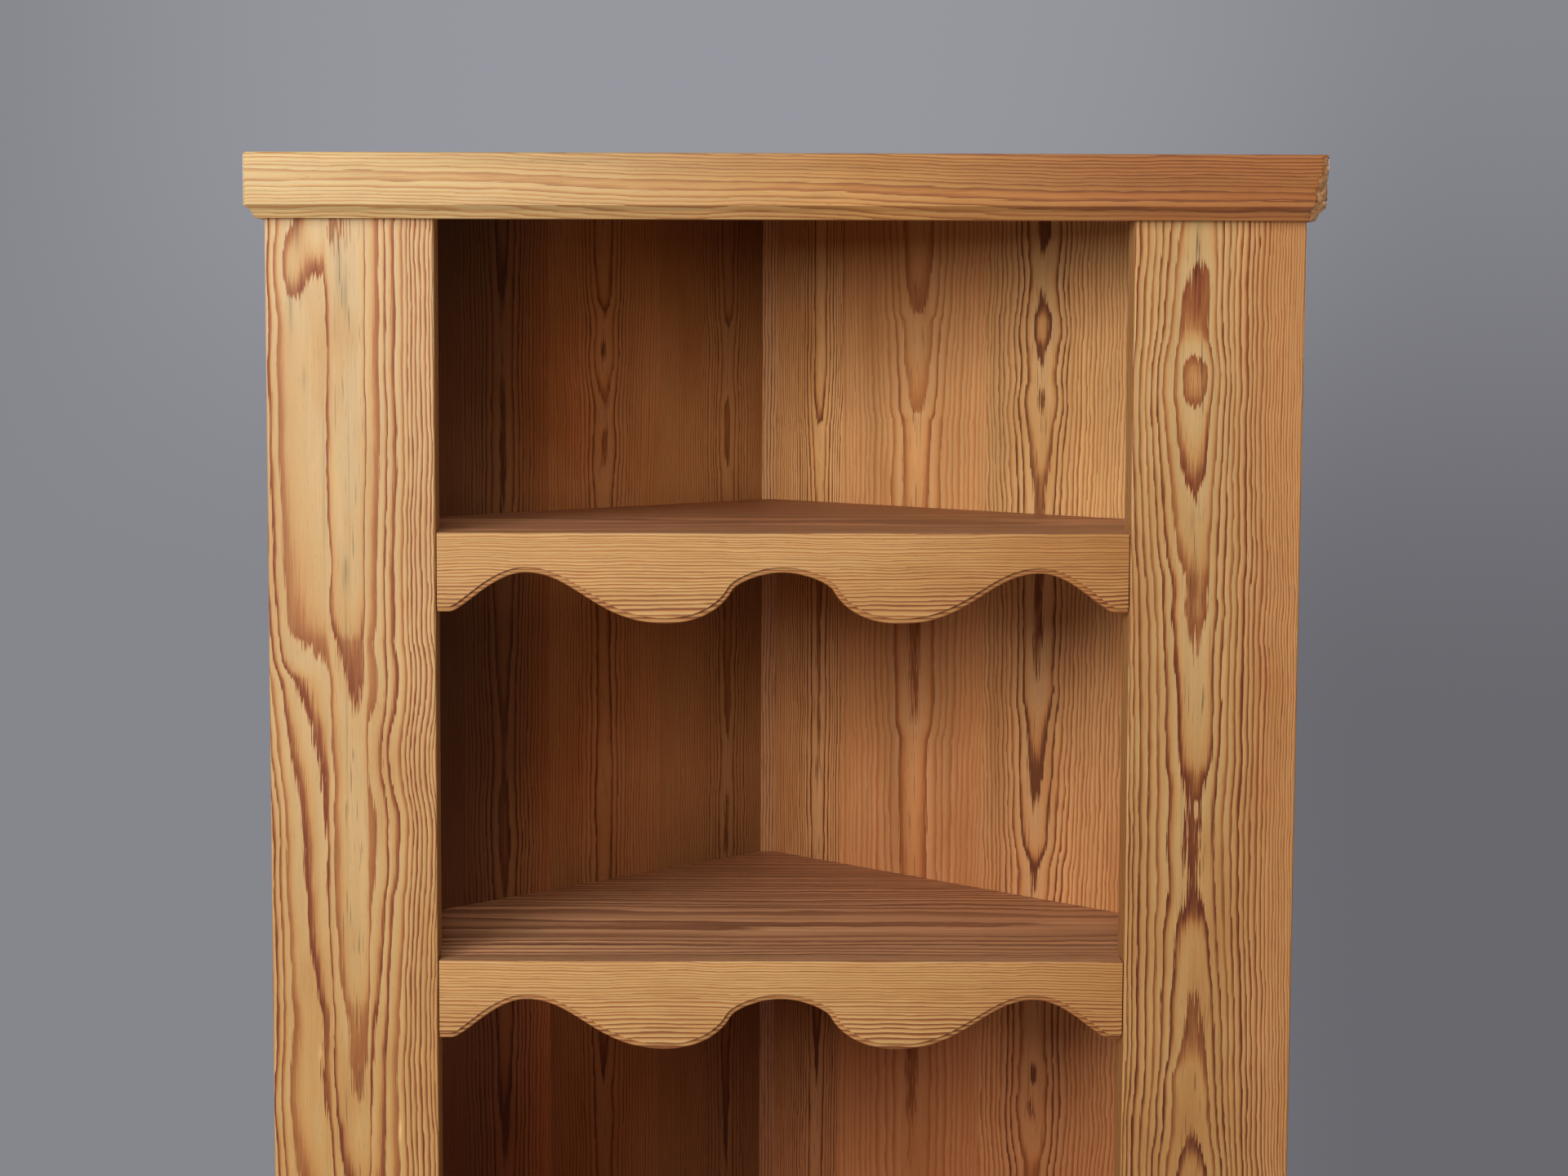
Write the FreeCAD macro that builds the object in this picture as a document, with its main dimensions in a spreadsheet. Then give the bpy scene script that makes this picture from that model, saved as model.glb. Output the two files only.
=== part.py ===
import FreeCAD, Part
import math
import os
import re
import Sketcher

# A free-standing pine corner cabinet: three open shelves over a cupboard with one framed door.
# Millimetres. The floor is Z = 0, the front looks along -Y, and the two backs stand at 45 degrees
# to it, against the walls of a room's corner. The origin is under the middle of the whole box.

SIZES = {
    # Whole cabinet
    "total_height": 1800.0,
    "width": 740.0,
    "side_depth": 78.3,
    "corner_half": 6.3,
    # Front stiles and the side boards behind them
    "left_stile_width": 120.0,
    "right_stile_width": 122.0,
    "stile_thick": 30.0,
    "stile_arris": 1.6,
    "side_thick": 18.0,
    # Back boards: where their joints lie along the wall, counted from the room's corner outwards
    "back_thick": 18.0,
    "left_joint_one_share": 0.243,
    "left_joint_two_share": 0.485,
    "left_joint_three_share": 0.664,
    "right_joint_one_share": 0.15,
    "right_joint_two_share": 0.455,
    "right_joint_three_share": 0.727,
    # Top board and its moulded edge
    "top_thick": 46.0,
    "top_overhang": 13.0,
    "top_shoulder_in": 4.0,
    "top_shoulder_drop": 3.6,
    "top_ledge": 0.4,
    "top_foot_in": 2.8,
    "top_foot_drop": 5.6,
    "top_arris": 2.6,
    "top_hollow": 26.0,
    "top_front_wall": 22.0,
    # Shelves
    "top_gap": 223.0,
    "shelf_pitch": 311.5,
    "shelf_thick": 20.0,
    "plinth_height": 100.0,
    "cupboard_shelf_share": 0.485,
    "cupboard_shelf_setback": 62.0,
    # Shaped apron under the front of a shelf: depths below the shelf's top
    "apron_thick": 22.0,
    "apron_end_gap": 0.8,
    "apron_arch_drop": 24.4,
    "apron_spring_drop": 39.6,
    "apron_lobe_drop": 61.3,
    "apron_side_drop": 24.7,
    "apron_end_drop": 53.1,
    "apron_lip": 4.1,
    "apron_lip_back": 2.4,
    "apron_lip_round": 1.4,
    "apron_arris": 1.4,
    "waist_rail_height": 66.0,
    # Cleats, glue blocks and the door stop
    "cleat_thick": 18.0,
    "cleat_height": 18.0,
    "cleat_start": 30.0,
    "cleat_end": 30.0,
    "block_side": 20.0,
    "block_width": 44.0,
    "end_block_width": 24.0,
    "stop_thick": 16.0,
    "stop_lap": 10.0,
    # Door
    "door_side_gap": 2.4,
    "door_end_gap": 2.5,
    "door_stop_gap": 0.3,
    "door_stile_width": 72.0,
    "door_top_width": 72.0,
    "door_bottom_width": 92.0,
    "groove_wide": 8.0,
    "groove_deep": 10.0,
    "groove_setback": 7.0,
    "tenon_length": 38.0,
    "tenon_haunch": 16.0,
    "panel_play": 0.8,
    "panel_clear": 0.2,
    "panel_bevel": 36.0,
    "panel_raise": 3.6,
    "panel_step": 1.2,
    "peg_radius": 3.5,
    "peg_proud": 0.6,
    "peg_inset": 16.0,
    # Butt hinges
    "hinge_length": 65.0,
    "hinge_inset": 105.0,
    "leaf_thick": 2.2,
    "leaf_depth": 19.0,
    "barrel_radius": 4.5,
    "barrel_proud": 0.4,
    "pin_radius": 2.3,
    "pin_head_radius": 3.6,
    "pin_head_height": 2.6,
    "running_clear": 0.05,
    "knuckle_clear": 0.25,
    "screw_head_radius": 3.4,
    "screw_head_depth": 2.0,
    "screw_radius": 1.6,
    "screw_length": 18.0,
    "slot_width": 0.9,
    "slot_depth": 0.8,
    # Turn latch: knob in front, tongue behind
    "latch_height_share": 0.613,
    "latch_backset": 36.0,
    "spindle_radius": 3.0,
    "knob_length": 30.0,
    "knob_radius": 17.0,
    "knob_waist_radius": 8.5,
    "knob_foot_radius": 11.0,
    "knob_foot_height": 4.0,
    "knob_head_height": 12.0,
    "knob_bore_depth": 18.0,
    "rose_radius": 15.0,
    "rose_thick": 1.6,
    "turn_clear": 0.3,
    "collar_radius": 7.0,
    "tongue_width": 16.0,
    "tongue_thick": 3.5,
    "tongue_length": 56.0,
    "tongue_clear": 0.5,
    "nut_across": 10.0,
    "nut_height": 5.0,
    "spindle_tail": 2.0,
    "keep_thick": 1.5,
    "keep_width": 26.0,
    "keep_height": 70.0,
    "keep_edge": 4.0,
    "keep_screw_inset": 9.0,
    "keep_screw_side": 5.0,
    # Nails and dowels
    "nail_length": 42.0,
    "nail_radius": 1.3,
    "nail_head_radius": 3.2,
    "nail_head_height": 0.8,
    "dowel_radius": 5.0,
    "dowel_in_top": 22.0,
    "dowel_in_stile": 34.0,
    "dowel_inset": 30.0,
}

# Places worked out from the sizes above. Depths count back from the front face of the stiles.
PLACES = {
    "half_width": "width / 2",
    "opening_left": "left_stile_width - half_width",
    "opening_right": "half_width - right_stile_width",
    "opening_mid": "(opening_left + opening_right) / 2",
    "opening_half": "(opening_right - opening_left) / 2",
    "side_inner": "half_width - side_thick",
    "wall_line": "half_width + side_depth",
    "corner_depth": "wall_line - corner_half",
    "wall_run": "(half_width - corner_half) * sqrt(2)",
    "left_joint_one": "wall_run * left_joint_one_share",
    "left_joint_two": "wall_run * left_joint_two_share",
    "left_joint_three": "wall_run * left_joint_three_share",
    "right_joint_one": "wall_run * right_joint_one_share",
    "right_joint_two": "wall_run * right_joint_two_share",
    "right_joint_three": "wall_run * right_joint_three_share",
    "cleat_reach": "(side_inner - corner_half) * sqrt(2) - cleat_end",
    "outer_line": "wall_line + back_thick * sqrt(2)",
    "batten_back_half": "corner_half + back_thick / sqrt(2)",
    "back_reach": "corner_depth + back_thick / sqrt(2)",
    "knob_reach": "rose_thick + turn_clear + knob_length",
    "front_reach": "max(knob_reach; top_overhang)",
    "face_y": "(front_reach - back_reach) / 2",
    "top_end": "half_width + top_overhang",
    "foot_inset": "top_shoulder_in + top_ledge",
    "left_dowel_x": "dowel_inset - half_width",
    "left_dowel_far_x": "opening_left - dowel_inset",
    "right_dowel_x": "opening_right + dowel_inset",
    "right_dowel_far_x": "half_width - dowel_inset",
    "carcass_height": "total_height - top_thick",
    "wall_height": "carcass_height + top_hollow",
    "hollow_back": "back_reach + top_thick",
    "hollow_front": "top_front_wall - top_overhang",
    "upper_z": "carcass_height - top_gap",
    "middle_z": "upper_z - shelf_pitch",
    "waist_z": "middle_z - shelf_pitch",
    "rail_z": "waist_z - waist_rail_height",
    "cupboard_z": "plinth_height + (rail_z - plinth_height) * cupboard_shelf_share",
    "apron_left": "opening_left + apron_end_gap",
    "apron_length": "opening_right - opening_left - 2 * apron_end_gap",
    "block_z": "shelf_thick + block_side",
    "door_thick": "apron_thick - door_stop_gap",
    "door_left": "opening_left + door_side_gap",
    "door_right": "opening_right - door_side_gap",
    "door_low": "plinth_height + door_end_gap",
    "door_high": "rail_z - door_end_gap",
    "door_height": "door_high - door_low",
    "sight_left": "door_left + door_stile_width",
    "sight_right": "door_right - door_stile_width",
    "sight_low": "door_low + door_bottom_width",
    "sight_high": "door_high - door_top_width",
    "sight_width": "sight_right - sight_left",
    "top_joint_z": "sight_high + (door_top_width - tenon_haunch + groove_deep) / 2",
    "bottom_joint_z": "sight_low - (door_bottom_width - tenon_haunch + groove_deep) / 2",
    "field_width": "sight_width - 2 * panel_bevel",
    "panel_face": "groove_setback - panel_raise",
    "tongue_edge": "groove_deep - panel_play",
    "lower_hinge_z": "door_low + hinge_inset",
    "upper_hinge_z": "door_high - hinge_inset",
    "hinge_x": "(opening_left + door_left) / 2",
    "hinge_y": "-(barrel_radius + barrel_proud)",
    "latch_x": "door_right - latch_backset",
    "latch_z": "door_low + door_height * latch_height_share",
    "knob_y": "-(rose_thick + turn_clear)",
    "collar_y": "door_thick + turn_clear",
    "tongue_y": "stile_thick + keep_thick + tongue_clear",
    "nut_y": "tongue_y + tongue_thick",
    "spindle_back": "nut_y + nut_height + spindle_tail",
}

KNUCKLES = 5
WALL_TURN = 45
SPRING_LEAN = 28
QUARTER_SHARE = 0.5523
TOUCH_SHARE = 0.0002

# Shares of half the opening, from its middle, along a shaped apron
ARCH_HALF_SHARE = 0.161
LOBE_MID_SHARE = 0.341
SIDE_ARCH_SHARE = 0.745
END_FLAT_SHARE = 0.967
ARCH_MID_HANDLE_SHARE = 0.44
LOBE_HANDLE_SHARE = 0.195
SIDE_HANDLE_SHARE = 0.152
SIDE_OUT_HANDLE_SHARE = 0.105
END_HANDLE_SHARE = 0.032

# Shares of the height from the middle arch to the lobe, for the curves that meet between them
ARCH_END_HANDLE_SHARE = 0.218
LOBE_START_HANDLE_SHARE = 0.298

# The three screws of a hinge leaf: shares of its length from its middle, and of its depth
SCREW_PLACE_SHARES = ((-0.36, 0.42), (0.0, 0.72), (0.36, 0.42))
SCREW_TIP_SHARE = 0.12
SCREW_TAPER_SHARE = 2.0

# The knob's outline: shares of its foot, its head and its greatest radius
KNOB_NECK_LOW_SHARE = 2.0
KNOB_NECK_HIGH_SHARE = 1.2
KNOB_BROW_SHARE = 0.7
KNOB_CROWN_SHARE = 0.4
KNOB_FLAT_SHARE = 0.5
KNOB_SOFT_SHARE = 0.45

# A hexagon's corner as a share of its width across flats
HEX_SHARE = 0.57735

doc = FreeCAD.newDocument("CornerCabinet")
sheet = doc.addObject("Spreadsheet::Sheet", "Sizes")
pieces = []


def fill_sheet():
    """Write the sizes as plain numbers, and the places as formulas of them."""
    rows = [(name, str(value)) for name, value in SIZES.items()]
    rows += [(name, "=" + text) for name, text in PLACES.items()]
    for row, (name, text) in enumerate(rows, start=1):
        sheet.set("A%d" % row, name)
        sheet.set("B%d" % row, text)
        sheet.setAlias("B%d" % row, name)
    doc.recompute()


def size(name):
    return float(sheet.get(name))


def formula(text):
    """Turn words of the sheet in a formula into references to its cells."""
    return re.sub(r"[a-z]\w*", lambda word: "Sizes." + word.group(), text)


def bind(item, **formulas):
    for name, text in formulas.items():
        item.setExpression(name, formula(text))


def place(item, x="0", y="0", z="0", turn=0, about=(0, 0, 1)):
    """Give a piece its place: x and z as they are, y back from the front face."""
    item.Placement = FreeCAD.Placement(FreeCAD.Vector(), FreeCAD.Rotation(FreeCAD.Vector(*about), turn))
    item.setExpression("Placement.Base.x", formula(x))
    item.setExpression("Placement.Base.y", formula("face_y + " + y))
    item.setExpression("Placement.Base.z", formula(z))


def named(item, label):
    item.Label = label
    pieces.append(item)
    return item


def box(name, x, y, z, dx, dy, dz):
    item = doc.addObject("Part::Box", name)
    bind(item, Length=dx, Width=dy, Height=dz)
    place(item, x, y, z)
    return item


def rod(name, x, y, z, radius, length, turn=0, about=(1, 0, 0)):
    """A cylinder that starts at a place and runs up, or along the way it is turned."""
    item = doc.addObject("Part::Cylinder", name)
    bind(item, Radius=radius, Height=length)
    place(item, x, y, z, turn, about)
    return item


def rod_through(name, x, y, z, radius, length):
    """A cylinder that runs straight back from a place."""
    return rod(name, x, y, z, radius, length, -90)


def sink(name, x, y, z, turn, about):
    """A countersink for a screw's head, with its wide end at a place."""
    item = doc.addObject("Part::Cone", name)
    bind(item, Radius1="screw_head_radius + running_clear", Radius2="screw_radius + running_clear",
         Height="screw_head_depth")
    place(item, x, y, z, turn, about)
    return item


def fuse(name, parts):
    item = doc.addObject("Part::MultiFuse", name)
    item.Shapes = parts
    return item


def cut(name, base, tools):
    item = doc.addObject("Part::Cut", name)
    item.Base = base
    item.Tool = tools[0] if len(tools) == 1 else fuse(name + "_cutter", tools)
    return item


def group(label, parts):
    item = doc.addObject("Part::Compound", label)
    item.Links = parts
    return named(item, label)


def start_body(label):
    return named(doc.addObject("PartDesign::Body", label), label)


def start_sketch(body, name, role, height):
    sketch = body.newObject("Sketcher::SketchObject", name)
    plane = [item for item in body.Origin.OriginFeatures if item.Role == role][0]
    sketch.AttachmentSupport = [(plane, "")]
    sketch.MapMode = "FlatFace"
    sketch.setExpression("AttachmentOffset.Base.z", formula(height))
    return sketch


def pin_point(sketch, shape, point, spot, across, along):
    """Hold a point of a sketch at two distances from its origin, given as formulas."""
    for kind, value, text in (("DistanceX", spot.x, across), ("DistanceY", spot.y, along)):
        rule = sketch.addConstraint(Sketcher.Constraint(kind, -1, 1, shape, point, value))
        sketch.setExpression("Constraints[%d]" % rule, formula(text))


def outline(body, name, corners, role="XY_Plane", height="0"):
    """A closed sketch of straight lines whose corners are formulas of the sheet."""
    sketch = start_sketch(body, name, role, height)
    count = len(corners)
    turns = [2 * math.pi * index / count for index in range(count)]
    ring = [FreeCAD.Vector(math.cos(turn), math.sin(turn), 0) for turn in turns]
    for index in range(count):
        sketch.addGeometry(Part.LineSegment(ring[index], ring[(index + 1) % count]), False)
    for index in range(count):
        sketch.addConstraint(Sketcher.Constraint("Coincident", index, 2, (index + 1) % count, 1))
    for index, (across, along) in enumerate(corners):
        pin_point(sketch, index, 1, ring[index], across, along)
    return sketch


def circle(body, name, x, y, radius, height="0"):
    """A sketch of one circle whose centre and radius are formulas of the sheet."""
    sketch = start_sketch(body, name, "XY_Plane", height)
    spot = FreeCAD.Vector(1, 1, 0)
    sketch.addGeometry(Part.Circle(spot, FreeCAD.Vector(0, 0, 1), 1), False)
    pin_point(sketch, 0, 3, spot, x, y)
    rule = sketch.addConstraint(Sketcher.Constraint("Radius", 0, 1))
    sketch.setExpression("Constraints[%d]" % rule, formula(radius))
    return sketch


def pad(body, name, sketch, length):
    feature = body.newObject("PartDesign::Pad", name)
    feature.Profile = sketch
    bind(feature, Length=length)
    doc.recompute()
    return feature


def pocket(body, name, sketch, length):
    """Cut upwards from a sketch."""
    feature = body.newObject("PartDesign::Pocket", name)
    feature.Profile = sketch
    feature.Reversed = True
    bind(feature, Length=length)
    doc.recompute()
    return feature


def near(value, target):
    return abs(value - target) < TOUCH_SHARE * size("width")


def upright(edge):
    direction = edge.Vertexes[-1].Point - edge.Vertexes[0].Point
    return direction.Length > 0 and near(abs(direction.z), direction.Length)


def edges_where(shape, test):
    """Names of the edges that pass a test of their place."""
    return ["Edge%d" % number for number, edge in enumerate(shape.Edges, start=1) if test(edge)]


def round_edges(body, name, base, test, radius):
    feature = body.newObject("PartDesign::Fillet", name)
    feature.Base = (base, edges_where(base.Shape, test))
    bind(feature, Radius=radius)
    doc.recompute()
    return feature


def bevel_edges(body, name, base, test, up, inward):
    feature = body.newObject("PartDesign::Chamfer", name)
    feature.Base = (base, edges_where(base.Shape, test))
    feature.ChamferType = "Two distances"
    bind(feature, Size=up, Size2=inward)
    doc.recompute()
    return feature


def cut_dowel_sockets(body, side, low, length):
    for number, x in enumerate((side + "_dowel_x", side + "_dowel_far_x"), start=1):
        name = "%s_%s_socket_%d" % (body.Name, side, number)
        hole = circle(body, name + "_circle", x, "stile_thick / 2", "dowel_radius + running_clear", low)
        pocket(body, name, hole, length)


def make_stile(side, left, right):
    """A face board with softened front arrises and two dowel sockets in its top end."""
    label = side + "_stile"
    body = start_body(label)
    corners = [(left, "0"), (right, "0"), (right, "stile_thick"), (left, "stile_thick")]
    board = pad(body, label + "_board", outline(body, label + "_outline", corners), "carcass_height")
    round_edges(body, label + "_arris", board,
                lambda edge: upright(edge) and near(edge.CenterOfMass.y, 0), "stile_arris")
    cut_dowel_sockets(body, side, "carcass_height - dowel_in_stile", "dowel_in_stile")
    place(body)
    return body


def make_stiles():
    body = make_stile("left", "-half_width", "opening_left")
    recess = [("opening_left - leaf_thick", "0"), ("opening_left", "0"),
              ("opening_left", "leaf_depth"), ("opening_left - leaf_thick", "leaf_depth")]
    for level in ("lower", "upper"):
        name = level + "_leaf_recess"
        low = level + "_hinge_z - hinge_length / 2"
        pocket(body, name, outline(body, name + "_outline", recess, height=low), "hinge_length")
    make_stile("right", "opening_right", "half_width")


def make_side(label, sign):
    """A side board behind a stile, its back edge bevelled where the back boards land on it."""
    body = start_body(label)
    outer, inner = sign + "half_width", sign + "side_inner"
    corners = [(outer, "stile_thick"), (inner, "stile_thick"),
               (inner, "wall_line - side_inner"), (outer, "wall_line - half_width")]
    pad(body, label + "_board", outline(body, label + "_outline", corners), "wall_height")
    place(body)


def place_on_wall(item, side, z="0"):
    """Stand a piece on a wall's line: its x runs from the room's corner out along the wall."""
    if side == "left":
        place(item, "-corner_half", "corner_depth", z, 180 + WALL_TURN)
    else:
        place(item, "corner_half", "corner_depth", z, -WALL_TURN)


def make_back_boards(side):
    """Four upright boards, glued edge to edge; the last is cut flush with the side board."""
    outer = "-back_thick" if side == "left" else "back_thick"
    joints = ["0"] + ["%s_joint_%s" % (side, word) for word in ("one", "two", "three")] + ["wall_run"]
    for number, (start, end) in enumerate(zip(joints, joints[1:]), start=1):
        label = "%s_back_board_%d" % (side, number)
        outer_end = "wall_run - back_thick" if end == "wall_run" else end
        corners = [(start, "0"), (end, "0"), (outer_end, outer), (start, outer)]
        body = start_body(label)
        pad(body, label + "_board", outline(body, label + "_outline", corners), "wall_height")
        place_on_wall(body, side)


def make_corner_batten():
    body = start_body("corner_batten")
    corners = [("-corner_half", "corner_depth"), ("corner_half", "corner_depth"),
               ("batten_back_half", "back_reach"), ("-batten_back_half", "back_reach")]
    pad(body, "corner_batten_board", outline(body, "corner_batten_outline", corners), "wall_height")
    place(body)


def top_corners(inset):
    """The top board's plan, drawn in on its front and its two ends."""
    end = "(top_end - %s)" % inset
    turn = "outer_line - " + end
    return [("-" + end, inset + " - top_overhang"), (end, inset + " - top_overhang"), (end, turn),
            ("batten_back_half", "back_reach"), ("-batten_back_half", "back_reach"), ("-" + end, turn)]


def on_top_rim(edge, height, inset):
    """True for an edge of the top board's front or ends at one height and inset."""
    front = near(edge.CenterOfMass.y, inset - size("top_overhang"))
    end = near(abs(edge.CenterOfMass.x), size("top_end") - inset)
    return near(edge.CenterOfMass.z, height) and (front or end)


def make_top_board():
    """A thick board with a moulded lower edge, hollow below where the sides and backs run up into it."""
    body = start_body("top_board")
    foot = pad(body, "top_foot", outline(body, "top_foot_outline", top_corners("foot_inset")), "top_thick")
    foot_inset = size("foot_inset")
    bevel_edges(body, "top_foot_bevel", foot, lambda edge: on_top_rim(edge, 0, foot_inset),
                "top_foot_drop", "top_foot_in")
    plan = outline(body, "top_outline", top_corners("0"), height="top_foot_drop")
    slab = pad(body, "top_slab", plan, "top_thick - top_foot_drop")
    low = size("top_foot_drop")
    slab = bevel_edges(body, "top_shoulder", slab, lambda edge: on_top_rim(edge, low, 0),
                       "top_shoulder_drop", "top_shoulder_in")
    slab = round_edges(body, "top_corner_round", slab,
                       lambda edge: upright(edge) and near(edge.CenterOfMass.y, -size("top_overhang")),
                       "top_arris")
    round_edges(body, "top_rim_round", slab,
                lambda edge: on_top_rim(edge, size("top_thick"), 0), "top_arris")
    hollow = [("opening_left", "hollow_front"), ("opening_right", "hollow_front"),
              ("opening_right", "stile_thick"), ("half_width", "stile_thick"), ("half_width", "hollow_back"),
              ("-half_width", "hollow_back"), ("-half_width", "stile_thick"), ("opening_left", "stile_thick")]
    pocket(body, "top_hollow_cut", outline(body, "top_hollow_outline", hollow), "top_hollow")
    cut_dowel_sockets(body, "left", "0", "dowel_in_top")
    cut_dowel_sockets(body, "right", "0", "dowel_in_top")
    place(body, z="carcass_height")


def make_shelf(label, top):
    """A shelf: behind the apron, let in round the stiles, out to the side boards and the backs."""
    body = start_body(label)
    corners = [("opening_left", "apron_thick"), ("opening_right", "apron_thick"),
               ("opening_right", "stile_thick"), ("side_inner", "stile_thick"),
               ("side_inner", "wall_line - side_inner"), ("corner_half", "corner_depth"),
               ("-corner_half", "corner_depth"), ("-side_inner", "wall_line - side_inner"),
               ("-side_inner", "stile_thick"), ("opening_left", "stile_thick")]
    pad(body, label + "_board", outline(body, label + "_outline", corners), "shelf_thick")
    place(body, z=top + " - shelf_thick")


def make_cupboard_shelf():
    body = start_body("cupboard_shelf")
    corners = [("-side_inner", "cupboard_shelf_setback"), ("side_inner", "cupboard_shelf_setback"),
               ("side_inner", "wall_line - side_inner"), ("corner_half", "corner_depth"),
               ("-corner_half", "corner_depth"), ("-side_inner", "wall_line - side_inner")]
    pad(body, "cupboard_shelf_board", outline(body, "cupboard_shelf_outline", corners), "shelf_thick")
    place(body, z="cupboard_z - shelf_thick")


def shaped_spans(offset):
    """Curves of a shaped lower edge, from the middle to the right end, grown outwards by an offset."""
    half = size("apron_length") / 2
    lean = math.radians(SPRING_LEAN)
    across, down = math.sin(lean), math.cos(lean)
    mid, lobe_x = half * ARCH_HALF_SHARE - offset * down, half * LOBE_MID_SHARE
    side_x, flat_x = half * SIDE_ARCH_SHARE, half * END_FLAT_SHARE
    arch, spring = -size("apron_arch_drop") - offset, -size("apron_spring_drop") - offset * across
    lobe, side = -size("apron_lobe_drop") - offset, -size("apron_side_drop") - offset
    end = -size("apron_end_drop") - offset
    lobe_handle = half * LOBE_HANDLE_SHARE + offset / 2
    side_handle = half * SIDE_HANDLE_SHARE - offset / 2
    out_handle = half * SIDE_OUT_HANDLE_SHARE - offset / 2
    end_handle = half * END_HANDLE_SHARE + offset / 2
    lobe_in = mid + (lobe_x - mid) * (1 - QUARTER_SHARE)
    arch_end = (arch - lobe) * ARCH_END_HANDLE_SHARE - offset / 2
    lobe_start = (arch - lobe) * LOBE_START_HANDLE_SHARE + offset / 2
    arch_foot = (mid - across * arch_end, spring + down * arch_end)
    lobe_head = (mid + across * lobe_start, spring - down * lobe_start)
    return [
        [(0, arch), (mid * ARCH_MID_HANDLE_SHARE, arch), arch_foot, (mid, spring)],
        [(mid, spring), lobe_head, (lobe_in, lobe), (lobe_x, lobe)],
        [(lobe_x, lobe), (lobe_x + lobe_handle, lobe), (side_x - side_handle, side), (side_x, side)],
        [(side_x, side), (side_x + out_handle, side), (flat_x - end_handle, end), (flat_x, end)],
        [(flat_x, end), (half, end)],
    ]


def shaped_board(offset, front, back):
    """A slab between two depths, straight on top and shaped below."""
    half = size("apron_length") / 2
    spans = shaped_spans(offset)
    left = [[(-x, z) for x, z in reversed(span)] for span in reversed(spans)]
    edges = []
    for span in left + spans:
        poles = [FreeCAD.Vector(x, front, z) for x, z in span]
        if len(poles) == 2:
            edges.append(Part.LineSegment(*poles).toShape())
        else:
            curve = Part.BezierCurve()
            curve.setPoles(poles)
            edges.append(curve.toShape())
    ends = [edges[0].Vertexes[0].Point, FreeCAD.Vector(-half, front, 0),
            FreeCAD.Vector(half, front, 0), edges[-1].Vertexes[-1].Point]
    edges += [Part.LineSegment(first, second).toShape() for first, second in zip(ends, ends[1:])]
    wire = Part.Wire(Part.__sortEdges__(edges))
    return Part.Face(wire).extrude(FreeCAD.Vector(0, back - front, 0))


def make_apron(label, top):
    """A front board with a shaped lower edge: its face ends in an arris over a rounded lip."""
    lip_back, lip_round = size("apron_lip_back"), size("apron_lip_round")
    inner = shaped_board(size("apron_lip"), lip_back, size("apron_thick"))
    lower = [edge for edge in inner.Edges if near(edge.BoundBox.YMax, lip_back)
             and edge.CenterOfMass.z < -size("apron_side_drop") and not upright(edge)]
    inner = inner.makeFillet(lip_round, lower)
    outer = shaped_board(0, 0, lip_back + lip_round)
    solid = outer.fuse(inner).removeSplitter()
    arris = [edge for edge in solid.Edges if near(edge.CenterOfMass.z, 0) and near(edge.CenterOfMass.y, 0)]
    item = doc.addObject("Part::Feature", label)
    item.Shape = solid.makeFillet(size("apron_arris"), arris)
    named(item, label)
    place(item, "opening_mid", "0", top)


def make_waist_rail():
    body = start_body("waist_rail")
    corners = [("0", "0"), ("apron_length", "0"), ("apron_length", "apron_thick"), ("0", "apron_thick")]
    rail = pad(body, "waist_rail_board", outline(body, "waist_rail_outline", corners), "waist_rail_height")
    round_edges(body, "waist_rail_arris", rail,
                lambda edge: near(edge.CenterOfMass.y, 0) and not upright(edge), "apron_arris")
    place(body, "apron_left", "0", "rail_z")


def make_cleats(level, top):
    """Two bearers under a shelf, one along each wall."""
    for side, inward in (("left", "cleat_thick"), ("right", "-cleat_thick")):
        label = "%s_%s_cleat" % (level, side)
        body = start_body(label)
        corners = [("cleat_start", "0"), ("cleat_reach", "0"),
                   ("cleat_reach", inward), ("cleat_start", inward)]
        pad(body, label + "_bar", outline(body, label + "_outline", corners), "cleat_height")
        place_on_wall(body, side, top + " - shelf_thick - cleat_height")


def make_glue_blocks(level, top):
    """Blocks rubbed into the angle between an apron and its shelf: two at its lobes, two at its ends."""
    lobe = "opening_mid %s opening_half * " + str(LOBE_MID_SHARE) + " - block_width / 2"
    spans = [("opening_left", "end_block_width"), (lobe % "-", "block_width"), (lobe % "+", "block_width"),
             ("opening_right - end_block_width", "end_block_width")]
    blocks = [box("%s_block_%d" % (level, number), left, "apron_thick", top + " - block_z",
                  width, "block_side", "block_side") for number, (left, width) in enumerate(spans, start=1)]
    group(level + "_glue_blocks", blocks)


def make_door_stop():
    """A batten behind the waist rail, up to the shelf; the door closes against its lower part."""
    stop = box("door_stop", "apron_left", "apron_thick", "rail_z - stop_lap",
               "apron_length", "stop_thick", "waist_rail_height - shelf_thick + stop_lap")
    named(stop, "door_stop")


def make_top_dowels():
    """Four dowels that locate the top board on the stiles."""
    places = ("left_dowel_x", "left_dowel_far_x", "right_dowel_x", "right_dowel_far_x")
    pins = [rod("top_dowel_%d" % number, x, "stile_thick / 2", "carcass_height - dowel_in_stile",
                "dowel_radius", "dowel_in_stile + dowel_in_top") for number, x in enumerate(places, start=1)]
    group("top_dowels", pins)


def peg_holes(label, x, ends):
    return [rod_through("%s_peg_hole_%d" % (label, number), x, "0", z,
                        "peg_radius + running_clear", "door_thick") for number, z in enumerate(ends)]


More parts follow.
